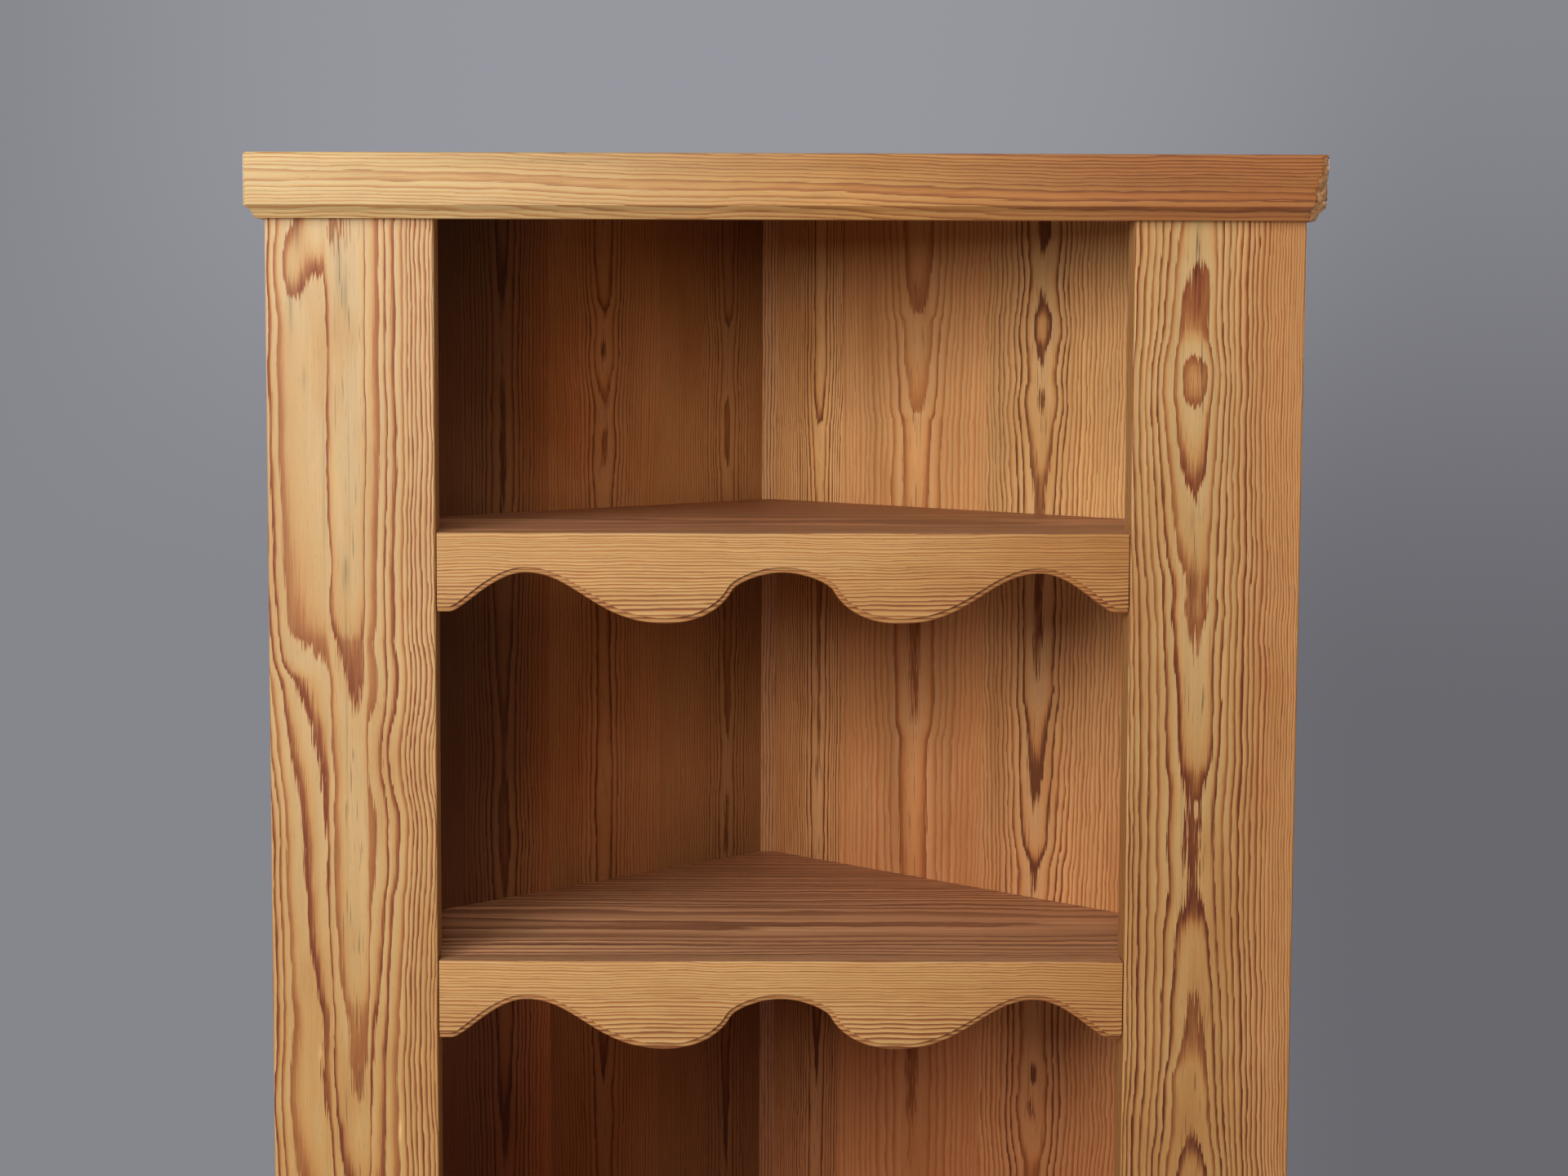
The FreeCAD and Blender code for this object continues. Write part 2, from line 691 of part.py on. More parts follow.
def make_door_stile(label, left, joint, inward):
    """An upright of the door frame; joint is its inner edge, inward the side where its wood lies."""
    board = box(label + "_board", left, "0", "door_low", "door_stile_width", "door_thick", "door_height")
    groove_x = joint if inward > 0 else joint + " - groove_deep"
    mortise_x = joint if inward > 0 else joint + " - tenon_length"
    peg_x = joint + (" + " if inward > 0 else " - ") + "peg_inset"
    cutters = [
        box(label + "_groove", groove_x, "groove_setback", "door_low", "groove_deep", "groove_wide",
            "door_height"),
        box(label + "_top_mortise", mortise_x, "groove_setback", "sight_high + groove_deep",
            "tenon_length", "groove_wide", "door_top_width - groove_deep - tenon_haunch"),
        box(label + "_bottom_mortise", mortise_x, "groove_setback", "door_low + tenon_haunch",
            "tenon_length", "groove_wide", "door_bottom_width - groove_deep - tenon_haunch"),
    ]
    return board, cutters + peg_holes(label, peg_x, ("top_joint_z", "bottom_joint_z"))


def make_door_stiles():
    label = "door_hinge_stile"
    board, cutters = make_door_stile(label, "door_left", "sight_left", -1)
    cutters += [box("%s_%s_recess" % (label, level), "door_left", "0", level + "_hinge_z - hinge_length / 2",
                    "leaf_thick", "leaf_depth", "hinge_length") for level in ("lower", "upper")]
    named(cut(label, board, cutters), label)
    label = "door_lock_stile"
    board, cutters = make_door_stile(label, "sight_right", "sight_right", 1)
    cutters.append(rod_through(label + "_spindle_hole", "latch_x", "0", "latch_z",
                               "spindle_radius + running_clear", "door_thick"))
    named(cut(label, board, cutters), label)


def make_door_rail(label, low, width, groove_z, tenon_z, peg_z):
    """A cross rail with a haunched tenon at each end and a groove for the panel."""
    board = box(label + "_board", "sight_left", "0", low, "sight_width", "door_thick", width)
    haunch = box(label + "_haunch", "sight_left - groove_deep", "groove_setback", low,
                 "sight_width + 2 * groove_deep", "groove_wide", width)
    tenon = box(label + "_tenon", "sight_left - tenon_length", "groove_setback", tenon_z,
                "sight_width + 2 * tenon_length", "groove_wide", width + " - groove_deep - tenon_haunch")
    solid = fuse(label + "_solid", [board, haunch, tenon])
    cutters = [box(label + "_groove", "sight_left - groove_deep", "groove_setback", groove_z,
                   "sight_width + 2 * groove_deep", "groove_wide", "groove_deep")]
    cutters += peg_holes(label + "_left", "sight_left - peg_inset", [peg_z])
    cutters += peg_holes(label + "_right", "sight_right + peg_inset", [peg_z])
    named(cut(label, solid, cutters), label)


def make_door_pegs():
    """A peg through each corner joint of the door, a little proud of its face."""
    corners = [(x, z) for x in ("sight_left - peg_inset", "sight_right + peg_inset")
               for z in ("top_joint_z", "bottom_joint_z")]
    pegs = [rod_through("door_peg_%d" % number, x, "(-peg_proud)", z, "peg_radius", "door_thick + peg_proud")
            for number, (x, z) in enumerate(corners)]
    group("door_pegs", pegs)


def make_door_panel():
    """A panel held loose in the grooves, bevelled down to a tongue round a raised field."""
    tongue = box("panel_tongue", "sight_left - tongue_edge", "groove_setback + panel_clear",
                 "sight_low - tongue_edge", "sight_width + 2 * tongue_edge",
                 "groove_wide - 2 * panel_clear", "sight_high - sight_low + 2 * tongue_edge")
    bevel = doc.addObject("Part::Wedge", "panel_bevel")
    bind(bevel, Xmin="sight_left + panel_bevel", Xmax="sight_right - panel_bevel",
         Zmin="sight_low + panel_bevel", Zmax="sight_high - panel_bevel",
         X2min="sight_left + panel_clear", X2max="sight_right - panel_clear",
         Z2min="sight_low + panel_clear", Z2max="sight_high - panel_clear",
         Ymin="panel_face", Ymax="groove_setback + panel_clear")
    place(bevel)
    field = box("panel_field", "sight_left + panel_bevel", "panel_face - panel_step",
                "sight_low + panel_bevel", "field_width",
                "panel_step + panel_raise", "sight_high - sight_low - 2 * panel_bevel")
    named(fuse("door_panel", [tongue, bevel, field]), "door_panel")


def knuckle_rods(name, low, numbers, radius, grow):
    """Lengths of the hinge's barrel, one for each knuckle asked for."""
    return [rod("%s_%d" % (name, number), "hinge_x", "hinge_y",
                "%s + hinge_length * %d / %d - %s" % (low, number, KNUCKLES, grow), radius,
                "hinge_length / %d + 2 * %s" % (KNUCKLES, grow)) for number in numbers]


def make_hinge(level):
    """A brass butt hinge: two leaves with their knuckles on one pin."""
    middle = level + "_hinge_z"
    low = middle + " - hinge_length / 2"
    frame_own = range(0, KNUCKLES, 2)
    door_own = range(1, KNUCKLES, 2)
    for side, plate_x, head_x, turn, own, other in (
            ("frame", "opening_left - leaf_thick", "opening_left", -90, frame_own, door_own),
            ("door", "door_left", "door_left", 90, door_own, frame_own)):
        label = "%s_hinge_%s_leaf" % (level, side)
        plate = box(label + "_plate", plate_x, "hinge_y", low, "leaf_thick", "leaf_depth - hinge_y",
                    "hinge_length")
        solid = fuse(label + "_solid",
                     [plate] + knuckle_rods(label + "_knuckle", low, own, "barrel_radius", "0"))
        cutters = [rod(label + "_bore", "hinge_x", "hinge_y", low, "pin_radius + running_clear",
                       "hinge_length")]
        cutters += knuckle_rods(label + "_relief", low, other, "barrel_radius + knuckle_clear",
                                "knuckle_clear")
        for number, (along_share, deep_share) in enumerate(SCREW_PLACE_SHARES):
            y = "leaf_depth * %s" % deep_share
            z = "%s + hinge_length * %s" % (middle, along_share)
            cutters.append(sink("%s_sink_%d" % (label, number), head_x, y, z, turn, (0, 1, 0)))
            cutters.append(rod("%s_hole_%d" % (label, number), head_x, y, z,
                               "screw_radius + running_clear", "leaf_thick", turn, (0, 1, 0)))
        named(cut(label, solid, cutters), label)
    label = level + "_hinge_pin"
    shank = rod(label + "_shank", "hinge_x", "hinge_y", low, "pin_radius", "hinge_length")
    foot = rod(label + "_foot", "hinge_x", "hinge_y", low + " - pin_head_height", "pin_head_radius",
               "pin_head_height")
    head = rod(label + "_head", "hinge_x", "hinge_y", low + " + hinge_length", "pin_head_radius",
               "pin_head_height")
    named(fuse(label, [shank, foot, head]), label)


def screw(x, y, z, direction):
    """A countersunk wood screw whose head's flat face sits at a place, pointing along a direction."""
    radius, head, deep = size("screw_radius"), size("screw_head_radius"), size("screw_head_depth")
    taper = radius * SCREW_TAPER_SHARE
    straight = size("screw_length") - taper
    along = FreeCAD.Vector(0, 0, straight)
    cone = Part.makeCone(head, radius, deep)
    shank = Part.makeCylinder(radius, straight)
    tip = Part.makeCone(radius, radius * SCREW_TIP_SHARE, taper, along)
    slot_width = size("slot_width")
    slot = Part.makeBox(head * 2, slot_width, size("slot_depth"), FreeCAD.Vector(-head, -slot_width / 2, 0))
    solid = cone.fuse(shank).fuse(tip).cut(slot)
    turn = FreeCAD.Rotation(FreeCAD.Vector(0, 0, 1), FreeCAD.Vector(*direction))
    solid.Placement = FreeCAD.Placement(FreeCAD.Vector(x, y, z), turn)
    return solid


def fastener_group(label, solids):
    item = doc.addObject("Part::Feature", label)
    item.Shape = Part.makeCompound(solids)
    named(item, label)
    place(item)


def hinge_screws(x, direction):
    solids = []
    for level in ("lower", "upper"):
        for along_share, deep_share in SCREW_PLACE_SHARES:
            z = size(level + "_hinge_z") + size("hinge_length") * along_share
            solids.append(screw(x, size("leaf_depth") * deep_share, z, direction))
    return solids


def keep_screw_places():
    x = size("opening_right") + size("keep_edge") + size("keep_width") - size("keep_screw_side")
    reach = size("keep_height") / 2 - size("keep_screw_inset")
    return [(x, size("latch_z") + way * reach) for way in (-1, 1)]


def make_screws():
    back = size("stile_thick") + size("keep_thick")
    frame = hinge_screws(size("opening_left"), (-1, 0, 0))
    frame += [screw(x, back, z, (0, -1, 0)) for x, z in keep_screw_places()]
    fastener_group("frame_screws", frame)
    fastener_group("door_screws", hinge_screws(size("door_left"), (1, 0, 0)))


def make_back_nails():
    """Cut nails through every back board into the edge of every shelf."""
    slope = math.sqrt(2) / 2
    solids = []
    for side, sign in (("left", -1), ("right", 1)):
        joints = [0] + [size("%s_joint_%s" % (side, word)) for word in ("one", "two", "three")]
        joints.append(size("wall_run") - size("back_thick"))
        inward = FreeCAD.Vector(-sign * slope, -slope, 0)
        for level in ("upper_z", "middle_z", "waist_z", "cupboard_z", "plinth_height"):
            z = size(level) - size("shelf_thick") / 2
            for start, end in zip(joints, joints[1:]):
                run = (start + end) / 2
                face = FreeCAD.Vector(sign * (size("corner_half") + slope * (run + size("back_thick"))),
                                      size("corner_depth") + slope * (size("back_thick") - run), z)
                head = Part.makeCylinder(size("nail_head_radius"), size("nail_head_height"), face, inward)
                shank = Part.makeCylinder(size("nail_radius"), size("nail_length"), face, inward)
                solids.append(head.fuse(shank))
    fastener_group("back_nails", solids)


def make_latch_knob():
    """A turned knob, bored for its spindle."""
    neck_low = "knob_foot_height * %s" % KNOB_NECK_LOW_SHARE
    head = "knob_length - knob_head_height * "
    corners = [("0", "knob_bore_depth"), ("spindle_radius", "knob_bore_depth"), ("spindle_radius", "0"),
               ("knob_foot_radius", "0"), ("knob_foot_radius", "knob_foot_height"),
               ("knob_waist_radius", neck_low), ("knob_waist_radius", head + str(KNOB_NECK_HIGH_SHARE)),
               ("knob_radius", head + str(KNOB_BROW_SHARE)), ("knob_radius", head + str(KNOB_CROWN_SHARE)),
               ("knob_radius * %s" % KNOB_FLAT_SHARE, "knob_length"), ("0", "knob_length")]
    body = start_body("latch_knob")
    sketch = outline(body, "latch_knob_outline", corners, "XZ_Plane")
    turned = body.newObject("PartDesign::Revolution", "latch_knob_turning")
    turned.Profile = sketch
    turned.ReferenceAxis = (sketch, ["V_Axis"])
    turned.Angle = 360
    doc.recompute()
    round_edges(body, "latch_knob_rounds", turned,
                lambda edge: near(edge.BoundBox.ZLength, 0) and edge.CenterOfMass.z > 0
                and edge.BoundBox.XLength > 2 * size("spindle_radius") + size("turn_clear"),
                "knob_foot_height * %s" % KNOB_SOFT_SHARE)
    place(body, "latch_x", "knob_y", "latch_z", 90, (1, 0, 0))


def make_latch_nut():
    flat, tip, side = "nut_across / 2", "nut_across * %s" % HEX_SHARE, "nut_across * %s / 2" % HEX_SHARE
    corners = [(flat, side), ("0", tip), ("-" + flat, side), ("-" + flat, "-" + side), ("0", "-" + tip),
               (flat, "-" + side)]
    body = start_body("latch_nut")
    pad(body, "latch_nut_block", outline(body, "latch_nut_outline", corners), "nut_height")
    bore = circle(body, "latch_nut_circle", "0", "0", "spindle_radius")
    pocket(body, "latch_nut_bore", bore, "nut_height")
    place(body, "latch_x", "nut_y + nut_height", "latch_z", 90, (1, 0, 0))


def make_ring(label, y, outer, inner, length):
    """A flat ring or sleeve round the latch's axis."""
    ring = rod_through(label + "_ring", "latch_x", y, "latch_z", outer, length)
    hole = rod_through(label + "_hole", "latch_x", y, "latch_z", inner, length)
    named(cut(label, ring, [hole]), label)


def make_tongue():
    """A flat bar with round ends, hanging down while the door is free."""
    reach = "(tongue_length - tongue_width / 2)"
    bar = box("latch_tongue_bar", "latch_x - tongue_width / 2", "tongue_y", "latch_z - " + reach,
              "tongue_width", "tongue_thick", reach)
    eye = rod_through("latch_tongue_eye", "latch_x", "tongue_y", "latch_z", "tongue_width / 2",
                      "tongue_thick")
    tip = rod_through("latch_tongue_tip", "latch_x", "tongue_y", "latch_z - " + reach, "tongue_width / 2",
                      "tongue_thick")
    hole = rod_through("latch_tongue_hole", "latch_x", "tongue_y", "latch_z", "spindle_radius",
                       "tongue_thick")
    named(cut("latch_tongue", fuse("latch_tongue_solid", [bar, eye, tip]), [hole]), "latch_tongue")


def make_keep():
    """A thin plate on the back of the right stile that the tongue turns behind."""
    plate = box("latch_keep_plate", "opening_right + keep_edge", "stile_thick", "latch_z - keep_height / 2",
                "keep_width", "keep_thick", "keep_height")
    x = "opening_right + keep_edge + keep_width - keep_screw_side"
    cutters = []
    for number, way in enumerate(("-", "+")):
        z = "latch_z %s (keep_height / 2 - keep_screw_inset)" % way
        cutters.append(sink("latch_keep_sink_%d" % number, x, "stile_thick + keep_thick", z, 90, (1, 0, 0)))
    named(cut("latch_keep", plate, cutters), "latch_keep")


def make_latch():
    """A turned knob on a spindle through the door, with a tongue that swings behind the stile."""
    make_ring("latch_rose", "(-rose_thick)", "rose_radius", "spindle_radius + running_clear", "rose_thick")
    make_latch_knob()
    spindle = rod_through("latch_spindle", "latch_x", "knob_y - knob_bore_depth", "latch_z",
                          "spindle_radius", "spindle_back - knob_y + knob_bore_depth")
    named(spindle, "latch_spindle")
    make_ring("latch_collar", "collar_y", "collar_radius", "spindle_radius", "tongue_y - collar_y")
    make_tongue()
    make_latch_nut()
    make_keep()


def check_and_export():
    doc.recompute()
    for item in doc.Objects:
        if "Invalid" in item.State or "Error" in item.State:
            raise RuntimeError("failed object: " + item.Name)
    for item in pieces:
        if item.Shape.isNull() or not item.Shape.isValid():
            raise RuntimeError("bad shape: " + item.Label)
    os.makedirs("parts", exist_ok=True)
    for item in pieces:
        item.Shape.exportStep("parts/%s.step" % item.Label)


def main():
    fill_sheet()
    make_top_board()
    make_stiles()
    make_side("left_side_board", "-")
    make_side("right_side_board", "")
    make_back_boards("left")
    make_back_boards("right")
    make_corner_batten()
    for level, top in (("upper", "upper_z"), ("middle", "middle_z"), ("plinth", "plinth_height")):
        make_shelf(level + "_shelf", top)
        make_apron(level + "_apron", top)
        make_glue_blocks(level, top)
        make_cleats(level, top)
    make_shelf("waist_shelf", "waist_z")
    make_cleats("waist", "waist_z")
    make_waist_rail()
    make_door_stop()
    make_cupboard_shelf()
    make_cleats("cupboard", "cupboard_z")
    make_top_dowels()
    make_door_stiles()
    make_door_rail("door_top_rail", "sight_high", "door_top_width", "sight_high", "sight_high + groove_deep",
                   "top_joint_z")
    make_door_rail("door_bottom_rail", "door_low", "door_bottom_width", "sight_low - groove_deep",
                   "door_low + tenon_haunch", "bottom_joint_z")
    make_door_pegs()
    make_door_panel()
    make_hinge("upper")
    make_hinge("lower")
    make_screws()
    make_back_nails()
    make_latch()
    check_and_export()


main()
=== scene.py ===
"""A pine corner cabinet: waxed solid wood, aged brass hinges and a turned knob, dressed over its CAD frame."""
import math
import random

import bpy
from bpy.props import FloatProperty, FloatVectorProperty, PointerProperty
from mathutils import Matrix, Vector, noise


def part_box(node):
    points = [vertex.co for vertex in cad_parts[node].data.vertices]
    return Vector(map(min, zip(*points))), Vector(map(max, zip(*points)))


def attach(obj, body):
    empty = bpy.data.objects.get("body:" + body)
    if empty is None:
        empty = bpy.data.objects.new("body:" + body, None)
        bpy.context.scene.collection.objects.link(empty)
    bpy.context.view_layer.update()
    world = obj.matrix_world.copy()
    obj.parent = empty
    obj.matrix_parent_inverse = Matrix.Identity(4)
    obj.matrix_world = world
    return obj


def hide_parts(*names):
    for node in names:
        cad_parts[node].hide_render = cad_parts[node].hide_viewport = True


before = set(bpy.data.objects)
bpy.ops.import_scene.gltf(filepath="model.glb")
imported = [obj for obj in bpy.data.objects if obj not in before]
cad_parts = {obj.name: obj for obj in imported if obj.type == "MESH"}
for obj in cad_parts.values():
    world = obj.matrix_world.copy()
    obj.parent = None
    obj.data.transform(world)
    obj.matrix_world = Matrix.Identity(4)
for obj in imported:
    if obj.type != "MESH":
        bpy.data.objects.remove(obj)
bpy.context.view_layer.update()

bl_info = {
    "name": "Pine corner cabinet",
    "version": (1, 0, 0),
    "blender": (4, 5, 0),
    "location": "3D View > Sidebar > Cabinet",
    "description": "Dresses a pine corner cabinet: grain, wax, worn edges, brass and the plain studio round it",
    "category": "Object",
}

MM = 1000.0
DIAGONAL = math.sqrt(0.5)

# In metres: the stiles' front faces, and where the backs' inner faces stop at the corner batten, how far to either
# side and how far behind those faces.
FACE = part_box("left_stile")[0].y
CORNER_HALF = 0.0063
CORNER_DEPTH = 0.442

# In mm over the floor, as all heights that belong to the grain are: the top of the stiles.
STILE_TOP = 1754

# The lens, in pixels of the photograph's width of 1920 and in mm of the camera's sensor.
PHOTO_WIDTH = 1920
FOCAL_PIXELS = 3421.9
SENSOR = 36.0

# How a board lies: rows give the directions across its grain, through its thickness and along its grain.
UPRIGHT = ((1, 0, 0), (0, 1, 0), (0, 0, 1))
LEVEL = ((0, 0, 1), (0, -1, 0), (1, 0, 0))
FLAT = ((0, 1, 0), (0, 0, 1), (1, 0, 0))
SIDEWAYS = ((0, 1, 0), (-1, 0, 0), (0, 0, 1))
ON_LEFT_WALL = ((DIAGONAL, DIAGONAL, 0), (-DIAGONAL, DIAGONAL, 0), (0, 0, 1))
ON_RIGHT_WALL = ((DIAGONAL, -DIAGONAL, 0), (DIAGONAL, DIAGONAL, 0), (0, 0, 1))


def linear(hex_colour):
    """An sRGB hex colour as the linear red, green and blue that Blender works in."""
    parts = [int(hex_colour[i:i + 2], 16) / 255 for i in (1, 3, 5)]
    return [p / 12.92 if p <= 0.04045 else ((p + 0.055) / 1.055) ** 2.4 for p in parts]


def colour(name, about, hex_colour):
    return FloatVectorProperty(name=name, description=about, subtype="COLOR", size=3, min=0.0, max=1.0,
                               default=linear(hex_colour))


def length(name, about, metres):
    return FloatProperty(name=name, description=about, subtype="DISTANCE", unit="LENGTH", precision=4,
                         default=metres, min=0.0)


class CabinetPine(bpy.types.PropertyGroup):
    """Colours of the pine: early is the pale spring wood of a growth ring, late its dark summer wood."""
    left_early: colour("Left stile, early wood", "Pale part of the rings of the left stile", "#D6B68B")
    left_late: colour("Left stile, late wood", "Dark part of the rings of the left stile", "#8C4318")
    left_low: colour("Left stile, early wood low down", "Pale wood where it turns browner lower down", "#C99F68")
    left_low_late: colour("Left stile, late wood low down", "Dark part of the rings lower down", "#702E11")
    right_early: colour("Right stile, early wood", "Pale part of the rings of the right stile", "#D0AA78")
    right_late: colour("Right stile, late wood", "Dark part of the rings of the right stile", "#7E3814")
    right_low: colour("Right stile, early wood low down", "Pale wood where it turns browner lower down", "#C19560")
    right_low_late: colour("Right stile, late wood low down", "Dark part of the rings lower down", "#5A220B")
    heartwood: colour("Heartwood", "Redder wood of the narrow rings at the right stile's outer edge", "#CB9866")
    top_early: colour("Top board, pale end", "Early wood at the left of the top board", "#D9BD8B")
    top_late: colour("Top board, pale end, late wood", "Late wood at the left of the top board", "#BE8B57")
    top_mid_early: colour("Top board, middle", "Early wood in the middle of the top board", "#C49257")
    top_mid_late: colour("Top board, middle, late wood", "Late wood in the middle of the top board", "#955C2E")
    top_red_early: colour("Top board, red end", "Early wood at the right of the top board", "#B27642")
    top_red_late: colour("Top board, red end, late wood", "Late wood at the right of the top board", "#7D4827")
    apron_early: colour("Apron, early wood", "Pale part of the rings of the shaped aprons", "#D2A872")
    apron_late: colour("Apron, late wood", "Dark part of the rings of the shaped aprons", "#89502A")
    apron_right: colour("Apron, right end", "Early wood where the aprons turn browner to the right", "#C08F57")
    apron_right_late: colour("Apron, right end, late wood", "Dark rings at the aprons' right end", "#733A1C")
    back_early: colour("Back boards, early wood", "Pale part of the rings of the back boards", "#DCAA76")
    back_late: colour("Back boards, late wood", "Dark part of the rings of the back boards", "#764427")
    shelf_early: colour("Shelf top, early wood", "Worn and greyed wood on the shelves", "#C4946C")
    shelf_late: colour("Shelf top, late wood", "Dark rings on the shelves", "#704630")
    rough_early: colour("Rough pine, early wood", "Sawn wood that nobody waxed", "#CFA777")
    rough_late: colour("Rough pine, late wood", "Dark rings of the sawn wood", "#9E6A41")
    # Painted light: the broken fibres are painted paler than bare pine, so that their face, turned away from the soft
    # box, reads as lit.
    bare: colour("Bare wood", "Broken fibres where a corner has been knocked", "#FFC186")
    bare_dark: colour("Bare wood, hollows", "Dirt between the broken fibres", "#CE874E")


class CabinetFittings(bpy.types.PropertyGroup):
    """Colours of the hinges, screws, nails and the latch."""
    brass: colour("Brass", "Aged brass where hands and doors keep it bright", "#B58F4E")
    tarnish: colour("Tarnish", "Brown film on the brass", "#6E5128")
    steel: colour("Steel", "Darkened steel of nails, screws and spindle", "#5C5854")
    knob_early: colour("Knob", "Turned hardwood of the knob, pegs and dowels", "#7A4A28")
    knob_late: colour("Knob, dark grain", "Dark pores of the hardwood", "#4A2814")


class CabinetStudio(bpy.types.PropertyGroup):
    """The plain floor, soft light and camera."""
    floor: colour("Floor", "Plain pale floor", "#DCDCDC")
    backdrop: colour("Backdrop", "Plain grey seen behind the cabinet", "#86868D")
    floor_radius: length("Floor radius", "How far the floor reaches", 2.9)
    key_power: FloatProperty(name="Soft box", description="Power of the large soft light", subtype="POWER",
                             unit="POWER", default=78.0, min=0.0)
    top_power: FloatProperty(name="Upper soft box", description="Power of the soft light above the camera",
                             subtype="POWER", unit="POWER", default=26.0, min=0.0)
    back_power: FloatProperty(name="Rear soft boxes", description="Power of the two soft lights behind the cabinet",
                              subtype="POWER", unit="POWER", default=45.0, min=0.0)
    key_size: length("Soft box size", "Side of each soft light", 1.2)
    fill: FloatProperty(name="Fill", description="Strength of the even light from all round", default=0.09, min=0.0)
    camera_place: FloatVectorProperty(name="Camera", description="Where the camera stands", subtype="TRANSLATION",
                                      unit="LENGTH", size=3, default=(-0.0611, -2.2084, 1.6666))
    camera_yaw: FloatProperty(name="Camera yaw", description="Turn to the right", subtype="ANGLE",
                              default=math.radians(0.2103))
    camera_pitch: FloatProperty(name="Camera pitch", description="Tilt downwards", subtype="ANGLE",
                                default=math.radians(5.0078))
    camera_roll: FloatProperty(name="Camera roll", description="Tilt of the horizon", subtype="ANGLE",
                               default=math.radians(0.1569))
    camera_shift: FloatProperty(name="Camera shift", description="How far the picture is cut off its middle, in "
                                "picture widths", default=0.0476)


def add(tree, kind, inputs=None, out=0, **settings):
    """Adds one node with its settings, values and links, and gives the output that is asked for."""
    node = tree.nodes.new(kind)
    for key, value in settings.items():
        setattr(node, key, value)
    for key, value in (inputs or {}).items():
        if isinstance(value, bpy.types.NodeSocket):
            tree.links.new(value, node.inputs[key])
        else:
            node.inputs[key].default_value = value
    return node.outputs[out] if node.outputs else None


def new_material(name):
    """An empty material and its node tree."""
    material = bpy.data.materials.new(name)
    material.use_nodes = True
    material.node_tree.nodes.clear()
    return material, material.node_tree


def rgba(value):
    """A colour with nothing of it see-through."""
    return (*value, 1.0)


def set_curve(output, points):
    """Puts the given points on the curve of the node behind this output."""
    curve = output.node.mapping.curves[0]
    spread = [(points[0][0], points[0][1]), (points[-1][0], points[-1][1])]
    for point, (x, y) in zip(curve.points, spread):
        point.location = (x, y)
    for x, y in points[1:-1]:
        curve.points.new(x, y)
    for point in curve.points:
        point.handle_type = "AUTO_CLAMPED"
    output.node.mapping.update()


def set_ramp(output, stops):
    """Puts the stops, place and colour, on the colour ramp behind this output."""
    ramp = output.node.color_ramp
    while len(ramp.elements) > 2:
        ramp.elements.remove(ramp.elements[-1])
    ramp.elements[0].position = stops[0][0]
    ramp.elements[0].color = stops[0][1]
    ramp.elements[1].position = stops[-1][0]
    ramp.elements[1].color = stops[-1][1]
    for place, value in stops[1:-1]:
        ramp.elements.new(place).color = value


# Noise that shapes the figure: its grain size in mm across, through and along the board, and its detail.
FIGURE = {
    "bend": (46.0, 46.0, 250.0, 1.0),
    "sway": (60.0, 60.0, 75.0, 1.0),
    "ripple": (22.0, 22.0, 30.0, 2.0),
    "fibre": (0.8, 0.8, 30.0, 2.0),
    "streak": (5.0, 5.0, 230.0, 2.0),
    "blotch": (40.0, 40.0, 130.0, 2.0),
    "fleck": (0.9, 0.9, 9.0, 1.0),
    "check": (1.3, 1.3, 34.0, 1.0),
}

# What the noises do to the wood: which noise, two of its values, and what those two turn into.
EFFECTS = {
    "blush": ("blotch", 0.48, 0.75, 0.0, 0.3),
    "cloud": ("blotch", 0.25, 0.75, 1.05, 0.95),
    "hair": ("fibre", 0.2, 0.8, 0.9, 1.08),
    "resin": ("fleck", 0.66, 0.76, 1.0, 0.84),
    "vein": ("streak", 0.25, 0.75, 0.94, 1.06),
    "split": ("check", 0.64, 0.72, 0.0, 1.0),
    "rubbed": ("streak", 0.3, 0.7, 0.72, 1.3),
    "gloss": ("streak", 0.2, 0.8, 0.44, 0.56),
}

# How dark the wood is from one ring's start to its end: pale spring wood, dark summer wood and a sharp stop.
RING = ((0.0, 0.0), (0.25, 0.05), (0.5, 0.26), (0.72, 0.8), (0.94, 1.0), (1.0, 0.0))

# As the wood darkens blue goes first and red last, so the step between early and late wood is orange.
DARKENING = (1.7, 1.0, 0.6)

# In mm from the middle of the figure: where the rings lie calm, where drying checks open, and the board's side.
CALM = 15.0
CHECKED = 11.0
SIDE = 60.0


def arched(pith, pitch, reach=160):
    """Rings across a plain-sawn board whose pith lies so deep: (mm from the middle, rings counted outwards)."""
    places = [reach * (i / 12) ** 1.5 for i in range(13)]
    places = [-p for p in reversed(places[1:])] + places
    return [(u, (math.hypot(u, pith) - pith) / pitch) for u in places]


